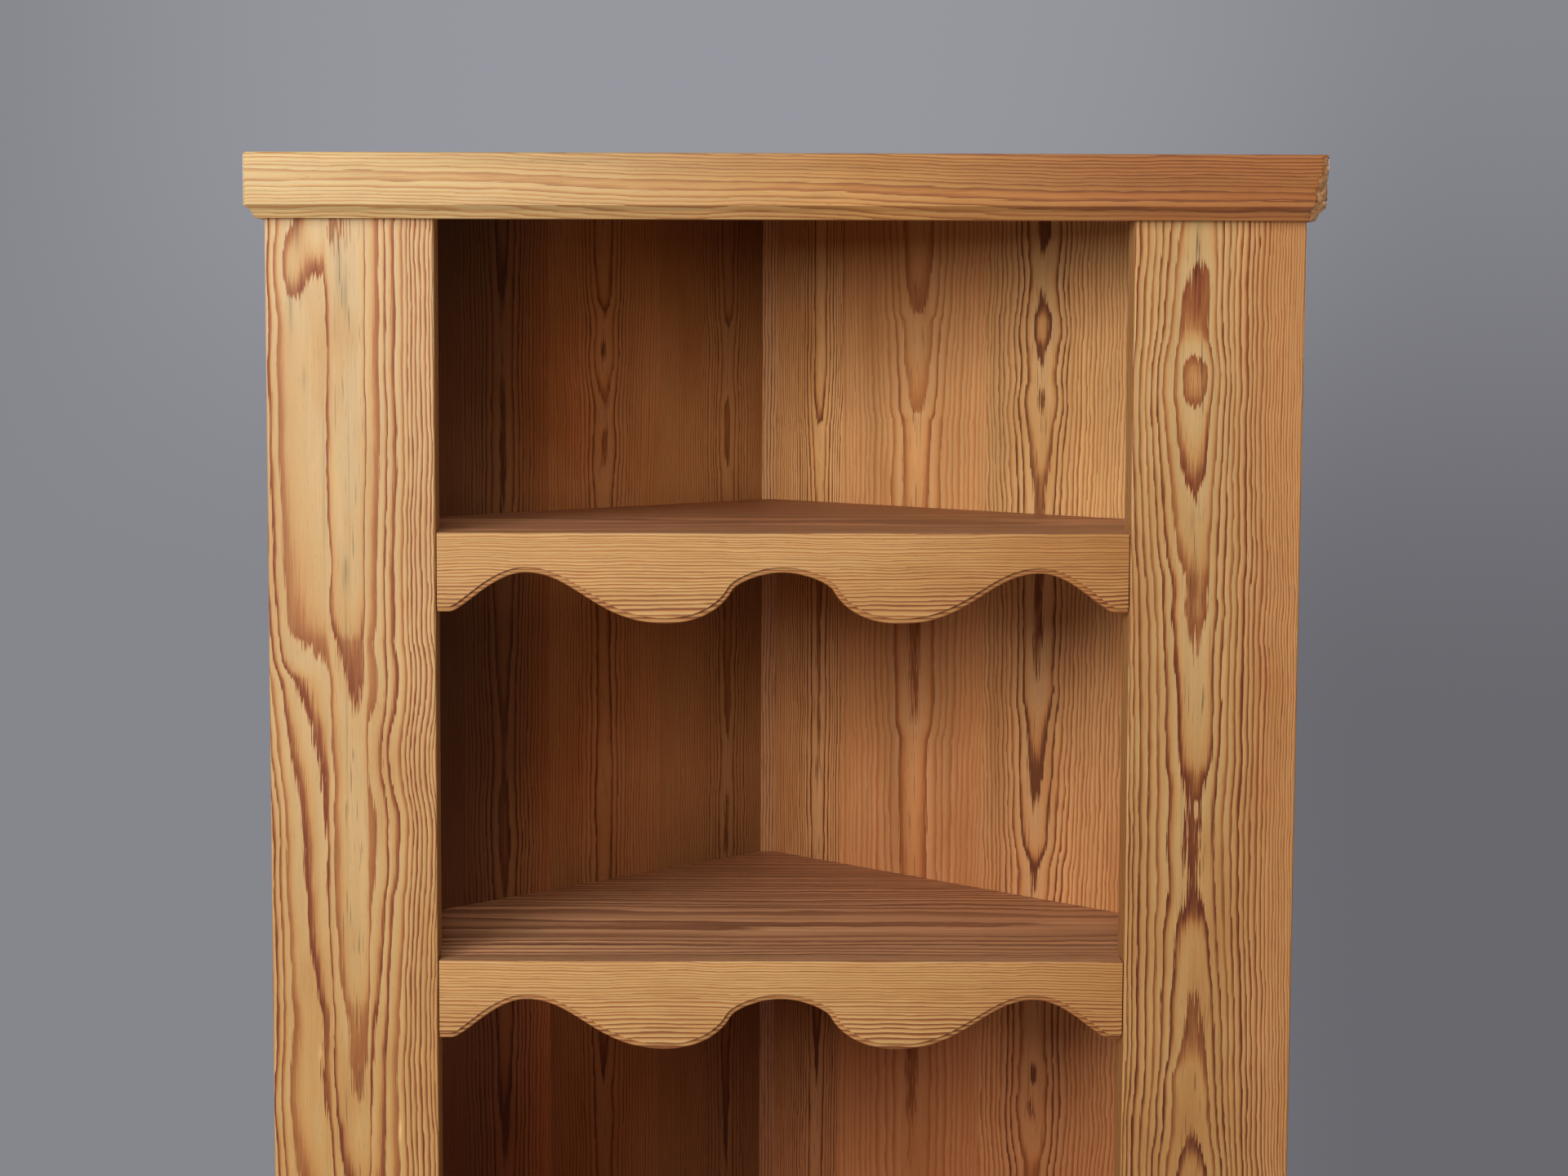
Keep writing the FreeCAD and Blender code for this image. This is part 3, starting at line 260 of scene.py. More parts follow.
class Board:
    """How one pine board was cut from its log and how its rings run, all in mm on the board and in rings."""

    def __init__(self, lies, heart, across, climb, tones, **cut):
        self.lies = Matrix(lies)
        # The middle of the figure, in metres; the rings across the board from there, and along it.
        self.heart = heart
        self.across = across
        self.climb = climb
        # Early and late wood along the board.
        self.tones = tones
        # Rings that only the board's left or right side has more, and how the middle strays along the board.
        self.left = ()
        self.right = ()
        self.wander = ()
        # Single spots: across, along, half width, half length, and how many rings or how much light they add.
        self.eddies = ()
        self.marks = ()
        # How far from the middle the climb holds, how much of it fades beyond, and the rings through each mm.
        self.hold = 90.0
        self.fade = 1.0
        self.deep = 0.18
        # Unevenness: slow drift in rings, slow and quick sway in mm, frayed fibre in rings, and unlike years.
        self.bend = 0.35
        self.sway = 2.2
        self.ripple = 1.5
        self.fray = 0.26
        self.uneven = 0.35
        # How dark the late wood is, then how narrow and how dark it is across the board.
        self.contrast = 1.0
        self.narrow = ((-40, 0.95), (0, 1.35), (40, 0.95))
        self.quiet = ((-60, 1.0), (60, 1.0))
        # Drying checks, redder heartwood across the board, and painted shade and light across the board.
        self.checks = 0.6
        self.heartwood = ()
        self.edges = ()
        # Level tops: how far they have greyed, and whether they do so in the board's own tones.
        self.patina = 0.85
        self.shelf = False
        # The two tones of the outer face, and how brown the step round a shaped edge is with painted shade, wax and
        # dust.
        self.behind = ()
        self.step = 0.0
        self.seed = 0.0
        for key, value in cut.items():
            if key not in self.__dict__:
                raise KeyError("a board has no " + key)
            setattr(self, key, value)


def follow(tree, value, points):
    """A value that follows the given points on a smooth curve, or none where there are no points."""
    if not points:
        return 0.0
    points = sorted(points)
    start, end = points[0][0], points[-1][0]
    low = min(p[1] for p in points)
    high = max(p[1] for p in points)
    rise = max(high - low, 1e-6)
    share = add(tree, "ShaderNodeMapRange", {0: value, 1: start, 2: end, 3: 0.0, 4: 1.0})
    curve = add(tree, "ShaderNodeFloatCurve", {"Value": share})
    set_curve(curve, [((z - start) / (end - start), (n - low) / rise) for z, n in points])
    return add(tree, "ShaderNodeMath", {0: curve, 1: rise, 2: low}, operation="MULTIPLY_ADD")


def reach_of(tree, value, wide):
    """One at the middle of the figure, falling softly to nothing so many mm to either side."""
    share = add(tree, "ShaderNodeMath", {0: value, 1: 1 / wide}, operation="MULTIPLY")
    share = add(tree, "ShaderNodeMath", {0: share, 1: share}, operation="MULTIPLY")
    return add(tree, "ShaderNodeMath", {0: math.exp(-1.0), 1: share}, operation="POWER")


def spot_of(tree, laid, x, z, wide, long):
    """One at a place on the board, falling softly to nothing so many mm across and along."""
    off = add(tree, "ShaderNodeVectorMath", {0: laid, 1: (1 / wide, 0.0, 1 / long), 2: (-x / wide, 0.0, -z / long)},
              operation="MULTIPLY_ADD")
    share = add(tree, "ShaderNodeVectorMath", {0: off, 1: off}, out="Value", operation="DOT_PRODUCT")
    return add(tree, "ShaderNodeMath", {0: math.exp(-1.0), 1: share}, operation="POWER")


def pine(name, board):
    """Solid-sawn Scots pine, planed and waxed.

    Wide pale early wood fades through orange into red-brown late wood and stops sharply at each ring's edge;
    the wax gives it a soft satin sheen and lets the late wood stand a hair proud.
    """
    wood = bpy.context.scene.cabinet_pine
    material, tree = new_material(name)
    here = add(tree, "ShaderNodeTexCoord", out="Object")
    rows = board.lies
    shift = -(rows @ Vector(board.heart)) * MM
    laid = add(tree, "ShaderNodeMapping", {"Vector": here, "Location": shift, "Rotation": rows.to_euler(),
                                           "Scale": (MM, MM, MM)})
    split = add(tree, "ShaderNodeSeparateXYZ", {0: laid})
    across, deep, along = split.node.outputs
    grain = {}
    for key, (wide, through, long, detail) in FIGURE.items():
        spot = add(tree, "ShaderNodeVectorMath",
                   {0: laid, 1: (1 / wide, 1 / through, 1 / long), 2: (board.seed, board.seed * 1.7, 0.3)},
                   operation="MULTIPLY_ADD")
        grain[key] = add(tree, "ShaderNodeTexNoise", {"Vector": spot, "Scale": 1.0, "Detail": detail})
    effect = {}
    for key, (source, low, high, at_low, at_high) in EFFECTS.items():
        effect[key] = add(tree, "ShaderNodeMapRange", {0: grain[source], 1: low, 2: high, 3: at_low, 4: at_high})

    # Rings counted from the middle of the figure: the log's cut spreads them across the board, and its taper
    # and bends make them climb along it. That draws the arches, ovals and straight lines.
    middle = add(tree, "ShaderNodeMath", {0: across, 1: follow(tree, along, board.wander)}, operation="SUBTRACT")
    for key, amount in (("sway", board.sway), ("ripple", board.ripple)):
        middle = add(tree, "ShaderNodeMath", {0: grain[key], 1: 2 * amount, 2: middle}, operation="MULTIPLY_ADD")
    middle = add(tree, "ShaderNodeMath", {0: middle, 1: board.sway + board.ripple}, operation="SUBTRACT")
    wild = add(tree, "ShaderNodeMapRange", {0: reach_of(tree, middle, CALM), 3: 1.0, 4: 0.12})
    rings = follow(tree, middle, board.across)
    reach = add(tree, "ShaderNodeMapRange", {0: reach_of(tree, middle, board.hold), 3: 1.0 - board.fade, 4: 1.0})
    drift = add(tree, "ShaderNodeMath", {0: grain["bend"], 1: 2 * board.bend, 2: -board.bend},
                operation="MULTIPLY_ADD")
    more = [(deep, board.deep), (follow(tree, along, board.climb), reach)]
    for side, steps in ((-SIDE, board.left), (SIDE, board.right)):
        if steps:
            share = add(tree, "ShaderNodeMapRange", {0: middle, 1: 0.0, 2: side, 3: 0.0, 4: 1.2})
            more.append((follow(tree, along, steps), share))
    more += [(drift, wild), (grain["fibre"], 2 * board.fray), (1.0, -board.fray)]
    more += [(spot_of(tree, laid, x, z, wide, long), strength) for x, z, wide, long, strength in board.eddies]
    for part, share in more:
        rings = add(tree, "ShaderNodeMath", {0: part, 1: share, 2: rings}, operation="MULTIPLY_ADD")

    # Years differ: some rings are wider, and some have darker late wood.
    years = add(tree, "ShaderNodeMath", {0: rings, 1: 0.41, 2: board.seed}, operation="MULTIPLY_ADD")
    years = add(tree, "ShaderNodeTexNoise", {"W": years, "Scale": 1.0, "Detail": 0.0}, noise_dimensions="1D")
    years = add(tree, "ShaderNodeMath", {0: years, 1: 0.5}, operation="SUBTRACT")
    years = add(tree, "ShaderNodeMath", {0: years, 1: wild}, operation="MULTIPLY")
    rings = add(tree, "ShaderNodeMath", {0: years, 1: 2 * board.uneven, 2: rings}, operation="MULTIPLY_ADD")
    season = add(tree, "ShaderNodeMath", {0: rings}, operation="FRACT")
    season = add(tree, "ShaderNodeMath", {0: season, 1: follow(tree, middle, board.narrow)}, operation="POWER")
    year = add(tree, "ShaderNodeMath", {0: rings}, operation="FLOOR")
    year = add(tree, "ShaderNodeTexWhiteNoise", {"W": year}, noise_dimensions="1D")
    late = add(tree, "ShaderNodeValToRGB", {0: season})
    set_ramp(late, [(place, rgba((dark, dark, dark))) for place, dark in RING])
    year = add(tree, "ShaderNodeMapRange", {0: year, 3: 0.8, 4: 1.12})
    late = add(tree, "ShaderNodeMath", {0: late, 1: year}, operation="MULTIPLY")
    patch = add(tree, "ShaderNodeMapRange", {0: grain["streak"], 1: 0.3, 2: 0.7, 3: 0.85 * board.contrast,
                                             4: 1.12 * board.contrast})
    patch = add(tree, "ShaderNodeMath", {0: patch, 1: follow(tree, middle, board.quiet)}, operation="MULTIPLY")
    late = add(tree, "ShaderNodeMath", {0: late, 1: patch}, operation="MULTIPLY", use_clamp=True)

    # Colour: early and late wood, each running through its tones along the board.
    start, end = board.tones[0][0], board.tones[-1][0]
    share = add(tree, "ShaderNodeMapRange", {0: along, 1: start, 2: end, 3: 0.0, 4: 1.0})
    woods = []
    for column in (1, 2):
        ramp = add(tree, "ShaderNodeValToRGB", {0: share})
        set_ramp(ramp, [((t[0] - start) / (end - start), rgba(t[column])) for t in board.tones])
        woods.append(ramp)
    if board.behind:
        # The outer face of a back stands against the room's wall and has one even tone, without the inner face's
        # painted shade.
        outer = add(tree, "ShaderNodeMapRange", {0: deep, 1: 6.0, 2: 12.0})
        woods = [add(tree, "ShaderNodeMix", {0: outer, 6: inner, 7: rgba(tone)}, out=2, data_type="RGBA")
                 for inner, tone in zip(woods, board.behind)]
    if board.heartwood:
        red = follow(tree, middle, board.heartwood)
        woods[0] = add(tree, "ShaderNodeMix", {0: red, 6: woods[0], 7: rgba(wood.heartwood)}, out=2,
                       data_type="RGBA")
    dark = add(tree, "ShaderNodeMath", {0: late, 1: effect["blush"]}, operation="MAXIMUM")
    steps = add(tree, "ShaderNodeCombineXYZ", {0: dark, 1: dark, 2: dark})
    steps = add(tree, "ShaderNodeVectorMath", {0: steps, 1: DARKENING}, operation="POWER")
    gap = add(tree, "ShaderNodeVectorMath", {0: woods[1], 1: woods[0]}, operation="SUBTRACT")
    tone = add(tree, "ShaderNodeVectorMath", {0: gap, 1: steps, 2: woods[0]}, operation="MULTIPLY_ADD")

    # Light and dark on top of that: clouds, single fibres, resin flecks, long veins, and the fine drying checks
    # that follow the middle of the figure.
    near = add(tree, "ShaderNodeMapRange", {0: reach_of(tree, middle, CHECKED), 3: 0.0, 4: board.checks})
    check = add(tree, "ShaderNodeMath", {0: effect["split"], 1: near}, operation="MULTIPLY")
    check = add(tree, "ShaderNodeMath", {0: 1.0, 1: check}, operation="SUBTRACT")
    shades = [effect["hair"], effect["resin"], effect["vein"], check]
    if board.edges:
        # Painted shade and light across the board: darker where a stile's shadow or the corner's shade falls on it.
        shades.append(follow(tree, across, board.edges))
    for x, z, wide, long, strength in board.marks:
        # Single checks, stains and pale scratches.
        mark = add(tree, "ShaderNodeMath", {0: spot_of(tree, laid, x, z, wide, long), 1: effect["hair"]},
                   operation="MULTIPLY")
        shades.append(add(tree, "ShaderNodeMath", {0: mark, 1: strength, 2: 1.0}, operation="MULTIPLY_ADD"))
    shade = effect["cloud"]
    for part in shades:
        shade = add(tree, "ShaderNodeMath", {0: shade, 1: part}, operation="MULTIPLY")
    tone = add(tree, "ShaderNodeVectorMath", {0: tone, "Scale": shade}, operation="SCALE")
    if board.step:
        # Painted shade, with the wax and dust it holds, browns the step cut round the shaped edge.
        step_dust_and_shade = add(tree, "ShaderNodeMapRange", {0: deep, 1: -0.7, 2: -2.0, 3: 0.0, 4: -board.step})
        step_dust_and_shade = add(tree, "ShaderNodeVectorMath", {0: (0.45, 1.0, 1.4), "Scale": step_dust_and_shade}, operation="SCALE")
        step_dust_and_shade = add(tree, "ShaderNodeVectorMath", {0: step_dust_and_shade, 1: (1.0, 1.0, 1.0)}, operation="ADD")
        tone = add(tree, "ShaderNodeVectorMath", {0: tone, 1: step_dust_and_shade}, operation="MULTIPLY")

    # Years of things put down leave level tops grey-brown and dull.
    facing = add(tree, "ShaderNodeNewGeometry", out="Normal")
    facing = add(tree, "ShaderNodeSeparateXYZ", {0: facing}, out=2)
    worn = add(tree, "ShaderNodeMapRange", {0: facing, 1: 0.75, 2: 0.97, 3: 0.0, 4: board.patina})
    grey, brown = woods if board.shelf else (rgba(wood.shelf_early), rgba(wood.shelf_late))
    greyed = add(tree, "ShaderNodeMix", {0: late, 6: grey, 7: brown}, out=2, data_type="RGBA")
    rubbed = add(tree, "ShaderNodeMath", {0: effect["rubbed"], 1: shade}, operation="MULTIPLY")
    greyed = add(tree, "ShaderNodeVectorMath", {0: greyed, "Scale": rubbed}, operation="SCALE")
    tone = add(tree, "ShaderNodeMix", {0: worn, 6: tone, 7: greyed}, out=2, data_type="RGBA")

    # Late wood stands a hair proud under the wax, and checks are open.
    proud = add(tree, "ShaderNodeMath", {0: late, 1: 0.6, 2: grain["fibre"]}, operation="MULTIPLY_ADD")
    proud = add(tree, "ShaderNodeMath", {0: proud, 1: check}, operation="MULTIPLY")
    bump = add(tree, "ShaderNodeBump", {"Strength": 0.22, "Distance": 0.0004, "Height": proud})
    surface = add(tree, "ShaderNodeBsdfPrincipled", {"Base Color": tone, "Roughness": effect["gloss"], "IOR": 1.5,
                                                     "Specular IOR Level": 0.42, "Normal": bump})
    add(tree, "ShaderNodeOutputMaterial", {"Surface": surface})
    return material


def down(*steps):
    """Ring counts read downwards from the top of the stiles: pairs of (mm below it, rings)."""
    return [(STILE_TOP - drop, rings) for drop, rings in steps]


def drawn_climb(seed, span, steps=9, rings=3.0):
    """A quiet, made-up run of rings for a board that the photograph doesn't show."""
    draw = random.Random(seed)
    start, end = span
    level = draw.uniform(0, 1)
    points = []
    for i in range(steps):
        points.append((start + (end - start) * i / (steps - 1), level))
        level += draw.uniform(-0.35, 1.0) * rings / steps
    return points


def wall_point(side, along):
    """A point on the inner face of a back wall, so many mm from the room's corner."""
    reach = along / MM * DIAGONAL
    return (side * (CORNER_HALF + reach), FACE + CORNER_DEPTH - reach, 0.0)


def darker(tone, share):
    """A tone darkened to a share of its light."""
    return tuple(part * share for part in tone)


def aged(tone, share, red):
    """A tone darkened to a share of its light and turned redder or, under 1, yellower."""
    return (tone[0] * share * red ** 0.5, tone[1] * share * red ** -0.5, tone[2] * share * red ** -0.7)


def halfway(tone, other, share):
    """A tone so far on the way from one to another."""
    return tuple(Vector(tone).lerp(Vector(other), share))


# Painted shade on the backs: darker where the top board and the shelves cast their shadows, and towards the foot,
# and redder low down: height, paleness and redness. Each board is paler or darker than that by one share over
# LOWER_PART and by another under it.
LEFT_WALL_PAINTED_SHADE = ((900, 0.5, 1.28), (1060, 0.5, 1.28), (1160, 0.62, 1.15), (1300, 0.9, 1.03), (1440, 0.6, 1.05),
                   (1550, 1.2, 1.0), (1640, 1.02, 0.98), (1754, 0.48, 1.05))
RIGHT_WALL_PAINTED_SHADE = ((900, 0.57, 1.36), (1060, 0.57, 1.36), (1160, 0.72, 1.2), (1320, 0.9, 1.1), (1440, 0.78, 1.1),
                    (1550, 1.1, 0.96), (1700, 1.15, 0.98), (1754, 1.0, 0.92))
LOWER_PART = 1200


def painted_wall_shade_tones(wood, shades, above, below, red):
    """A back board's tones along its height, with its wall's painted shade, each a little paler, darker or redder."""
    tones = []
    for z, share, redness in shades:
        share = share * (above if z > LOWER_PART else below)
        tones.append((z, aged(wood.back_early, share, redness * red), aged(wood.back_late, share, redness * red)))
    return tones


def plain_tones(early, late, span=(0, 1800)):
    """The same two tones from one end of a board to the other."""
    return [(span[0], early, late), (span[1], early, late)]


def dress(node, material):
    """Gives a CAD node, which keeps its own shape, the finish of the real piece."""
    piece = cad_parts[node]
    for slot in piece.material_slots:
        slot.material = material


# The boards that the photograph shows, by listed points: rings across a board as (mm from the middle, rings),
# rings along it as (mm under the top of the stiles, rings), and its single spots.
LEFT_STILE_ACROSS = [(-62, 4.2), (-58, 3.3), (-55, 2.8), (-51, 2.25), (-48.5, 1.9), (-45, 1.58), (-41.5, 1.4),
                     (-37, 1.3), (-31, 1.2), (-25, 1.11), (-20, 1.05), (-17, 1.0), (-14.5, 0.66), (-12, 0.3),
                     (-7, 0.07), (0, 0), (7, 0.07), (10, 0.22), (11.6, 0.5), (13, 1.0), (17, 1.4), (23, 2.05),
                     (28, 3.0), (35, 4.0), (40, 5.1), (47, 7.1), (55, 9.6), (66, 13.4)]
LEFT_STILE_CLIMB = down((0, 0.06), (154, 0.08), (254, 0.2), (290, 0.4), (302, 0.68), (325, 0.86), (353, 1.0),
                        (366, 1.12), (489, 1.2), (536, 1.3), (562, 1.48), (572, 1.7), (600, 1.85), (634, 2.0),
                        (646, 2.14), (668, 2.36), (690, 2.6), (720, 2.95), (760, 3.15), (930, 3.4), (1010, 3.75),
                        (1080, 4.1), (1200, 4.0), (1290, 3.75), (1360, 3.9), (1460, 4.3), (1600, 4.9), (1754, 5.4))
LEFT_STILE_LEFT = down((0, 0), (130, 0.0), (230, 0.15), (300, 0.3), (330, 1.1), (371, 1.65), (406, 2.2),
                       (459, 2.7), (548, 2.9), (666, 2.2), (900, 2.8), (1200, 2.0), (1500, 3.0), (1754, 3.2))
LEFT_STILE_RIGHT = down((0, 0), (290, 0.0), (333, -1.2), (383, -0.1), (442, -1.5), (489, -0.8), (578, -0.3),
                        (650, -0.7), (760, -1.5), (900, -0.6), (1100, -1.6), (1300, -0.8), (1754, -2.0))
LEFT_STILE_EDDIES = [(-40, 1722, 12, 33, -1.0), (-21, 1748, 11, 28, -1.0)]
LEFT_STILE_MARKS = [(-35, 1743, 2.2, 12, -0.3), (-40, 1692, 1.6, 20, -0.3), (-33, 1702, 1.2, 11, -0.25),
                    (-5.5, 1722, 2.4, 26, -0.22), (-1, 1701, 1.8, 18, -0.3), (-2.5, 1502, 3.0, 12, -0.24),
                    (-31, 1641, 1.6, 9, -0.2), (-17.5, 1560, 1.0, 60, -0.2), (0.4, 1560, 0.7, 90, -0.16),
                    (-2.6, 1390, 0.8, 120, -0.18), (34, 1094, 0.9, 7, 0.55), (-24, 1150, 0.7, 6, 0.4)]
RIGHT_STILE_ACROSS = [(-52, 9.0), (-45, 7.1), (-42, 6.4), (-37, 5.3), (-32.5, 4.3), (-28, 3.35), (-23, 2.35),
                      (-17, 1.4), (-13.5, 0.92), (-11, 0.56), (-8, 0.3), (-5, 0.13), (-2.5, 0.04), (0, 0),
                      (2.5, 0.04), (5, 0.15), (8, 0.37), (10.5, 0.7), (13, 1.18), (19, 2.35), (23.7, 3.35),
                      (27.6, 4.35), (31, 5.3), (38, 7.1), (46, 9.2), (52, 11.0), (60, 14.4), (80, 24.5)]
RIGHT_STILE_CLIMB = down((0, 1.22), (24, 1.1), (29, 1.02), (34, 0.95), (61, 0.84), (76, 0.72), (84, 0.45),
                         (92, 0.1), (98, -0.08), (114, -0.34), (130, -0.1), (139, 0.1), (158, 0.4), (179, 0.68),
                         (190, 0.88), (200, 1.02), (220, 1.3), (236, 1.5), (247, 1.66), (265, 1.84), (276, 1.76),
                         (288, 1.88), (312, 2.02), (330, 2.14), (371, 2.36), (388, 2.52), (396, 2.68), (406, 2.8),
                         (425, 2.86), (450, 2.86), (474, 2.93), (489, 2.86), (501, 2.7), (510, 2.5), (525, 2.3),
                         (545, 2.1), (555, 2.02), (559, 1.96), (575, 1.86), (595, 1.72), (607, 1.56), (620, 1.36),
                         (643, 1.12), (657, 1.02), (662, 0.96), (672, 0.8), (681, 0.58), (700, 0.3), (740, 0.05),
                         (804, -0.2), (894, -0.5), (994, -0.1), (1114, 0.4), (1254, 1.0), (1374, 1.8), (1504, 2.4),
                         (1634, 2.7), (1754, 3.0))
RIGHT_STILE_EDDIES = [(-11, 1690, 6, 27, -0.46), (9.5, 1704, 6, 25, -0.44), (-8, 1642, 5, 20, -0.12),
                      (8, 1642, 5, 20, -0.12), (7, 1497, 5, 22, -0.12), (4.8, 1333, 1.8, 9, 0.24),
                      (-7, 1133, 7, 12, -0.35)]
RIGHT_STILE_MARKS = [(0, 1740, 2.6, 22, -0.25), (2, 1500, 1.8, 14, -0.2), (-35.5, 1650, 0.9, 90, 0.22),
                     (-1, 1540, 1.6, 12, -0.22)]
TOP_ACROSS = [(-42, 14.6), (-24, 7.3), (-14, 3.4), (-9, 1.5), (-7, 1.0), (-4, 0.4), (0, 0), (3.5, 0.4), (6, 1.0),
              (9, 2.2), (16, 5.0), (34, 12.4)]
TOP_MARKS = [(26, 250, 5.5, 170, -0.15), (15, 260, 4.0, 190, 0.12), (37, 110, 3.0, 140, -0.12),
             (20, -10, 5.0, 130, 0.08), (40, -150, 2.2, 55, -0.16), (35, -60, 2.0, 80, -0.1),
             (43, -330, 2.4, 70, 0.07), (24, -250, 3.0, 90, 0.05), (12, 30, 1.6, 12, 0.16), (16, 24, 3.0, 9, -0.12)]
APRON_ACROSS = [(-30, 9.0), (0, 0.0), (8, 1.6), (20, 4.2), (34, 8.0), (50, 14.4), (66, 22.0), (90, 34.0)]
BATTEN_ACROSS = [(-30, 0.0), (-6, 9.6), (0, 11.7), (6, 13.9), (30, 24.0)]
SHELF_MARKS = [(-97, -190, 5.0, 95, 0.4), (-84, -120, 3.5, 70, 0.3), (-66, -60, 4.0, 110, 0.2),
               (-102, 60, 2.5, 90, 0.15), (-74, -170, 3.0, 60, -0.25)]

# How pale and how red a shelf's top is from its left end to its right end (mm, paleness, redness), and then how
# pale and how red each shelf is.
SHELF_SHADE = ((-352, 1.3, 0.98), (-130, 1.1, 1.0), (120, 1.0, 1.03), (352, 0.86, 1.09))
SHELVES = (("upper", 0.9, 1.12), ("middle", 1.06, 1.02), ("waist", 1.0, 1.05), ("cupboard", 0.9, 1.0),
           ("plinth", 0.9, 1.0))

# Each back board: its wall (-1 is the left), the mm along it from the corner to the middle of the figure, how pale
# it is over and under the middle shelf, which is painted shade and light, darkest on the outer left boards where the
# left stile's shadow falls, and how red, and how its log was cut.
BACK_BOARDS = {
    "left_back_board_1": (-1, 43, (0.87, 0.78, 0.94), dict(
        across=arched(16.0, 2.6), ripple=2.0, edges=((-82, 1.12), (-30, 1.0), (43, 0.86)),
        climb=down((0, 0.2), (58, 0.55), (72, 0.92), (78, 1.05), (104, 1.2), (130, 1.05), (138, 0.92), (150, 0.8),
                   (186, 0.9), (200, 1.1), (260, 1.4), (380, 1.75), (420, 1.9), (432, 2.04), (452, 2.1),
                   (470, 2.02), (486, 1.88), (530, 1.95), (560, 2.1), (700, 2.6), (800, 2.95), (1000, 3.4),
                   (1754, 5.0)))),
    "left_back_board_2": (-1, 189, (1.08, 1.02, 0.98), dict(
        across=arched(26.0, 2.56), ripple=2.2, edges=((-60, 0.96), (0, 1.04), (64, 0.96)),
        marks=((-28, 1615, 16, 75, 0.16), (30, 1640, 14, 80, -0.1), (-20, 1290, 12, 70, 0.12)),
        climb=down((0, 0.1), (48, 0.5), (60, 0.88), (66, 1.03), (74, 1.08), (82, 1.0), (92, 0.92), (104, 1.08),
                   (112, 1.35), (130, 1.8), (138, 1.98), (146, 2.06), (156, 2.0), (170, 1.9), (196, 2.04),
                   (208, 2.2), (330, 2.5), (420, 2.35), (430, 2.2), (520, 2.35), (640, 2.6), (690, 2.9),
                   (740, 3.2), (1754, 5.2)))),
    "left_back_board_3": (-1, 299, (0.52, 0.86, 1.08), dict(
        across=arched(20.0, 3.0), ripple=2.2, contrast=1.2,
        edges=((-42, 0.66), (-10, 0.84), (15, 1.15), (50, 1.75)),
        climb=down((0, 0.5), (40, 0.8), (90, 0.98), (160, 0.85), (240, 1.0), (360, 1.6), (420, 1.95), (470, 1.75),
                   (540, 2.0), (660, 2.5), (740, 2.95), (1000, 3.6), (1754, 5.0)))),
    "left_back_board_4": (-1, 470, (0.28, 0.55, 1.2), dict(
        across=arched(30.0, 2.43), climb=drawn_climb(31, (0, 1754), 9, 2.5))),
    "right_back_board_1": (1, 51, (1.16, 0.95, 0.96), dict(
        across=arched(15.0, 2.29), contrast=1.15, marks=((2, 1610, 13, 65, 0.14),),
        climb=down((0, 0.1), (110, 0.35), (150, 0.75), (158, 1.02), (200, 1.3), (260, 1.6), (330, 1.85),
                   (430, 1.97), (480, 2.05), (560, 2.3), (660, 2.6), (740, 3.0), (1754, 5.0)))),
    "right_back_board_2": (1, 160, (1.0, 1.0, 1.03), dict(
        across=arched(62.0, 3.02), ripple=2.2, contrast=0.78,
        marks=((0, 1575, 18, 52, 0.18), (6, 1295, 14, 75, 0.17), (-24, 1300, 8, 80, -0.16),
               (-46, 1620, 9, 90, -0.1), (36, 1400, 14, 90, -0.08), (-64, 1340, 10, 80, 0.1)),
        climb=down((0, 0.3), (40, 0.7), (60, 0.92), (64, 1.0), (68, 1.25), (100, 1.5), (130, 1.75), (143, 1.92),
                   (147, 2.02), (151, 2.28), (234, 2.5), (300, 2.75), (350, 2.86), (404, 2.94), (410, 3.04),
                   (416, 3.3), (514, 3.5), (604, 3.75), (654, 3.86), (714, 3.92), (754, 4.0), (1754, 6.0)))),
    "right_back_board_3": (1, 290, (1.05, 1.13, 0.94), dict(
        across=arched(30.0, 3.4), bend=0.9, ripple=2.6, contrast=1.18,
        marks=((-42, 1600, 10, 110, -0.12), (44, 1620, 12, 100, 0.08), (-40, 1330, 9, 90, -0.12),
               (30, 1290, 12, 70, 0.1)),
        climb=down((0, 0.8), (22, 1.0), (34, 1.12), (46, 0.95), (60, 0.8), (72, 0.5), (88, 0.75), (104, 0.95),
                   (116, 1.1), (128, 0.9), (142, 1.0), (156, 1.3), (184, 1.6), (214, 1.88), (277, 1.9),
                   (339, 1.95), (366, 2.1), (394, 2.5), (436, 2.85), (456, 2.98), (484, 3.2), (505, 3.75),
                   (520, 3.95), (658, 4.1), (682, 3.9), (692, 4.05), (706, 3.9), (723, 4.02), (741, 4.3),
                   (764, 4.7), (1754, 6.5)))),
    "right_back_board_4": (1, 480, (0.95, 1.0, 1.0), dict(
        across=arched(30.0, 2.43), climb=drawn_climb(33, (0, 1754), 9, 2.5))),
}

# The backs' late wood is quieter away from the middle of each board.
BACK_QUIET = ((-80, 0.58), (-34, 0.68), (-15, 1.0), (15, 1.0), (34, 0.68), (80, 0.58))


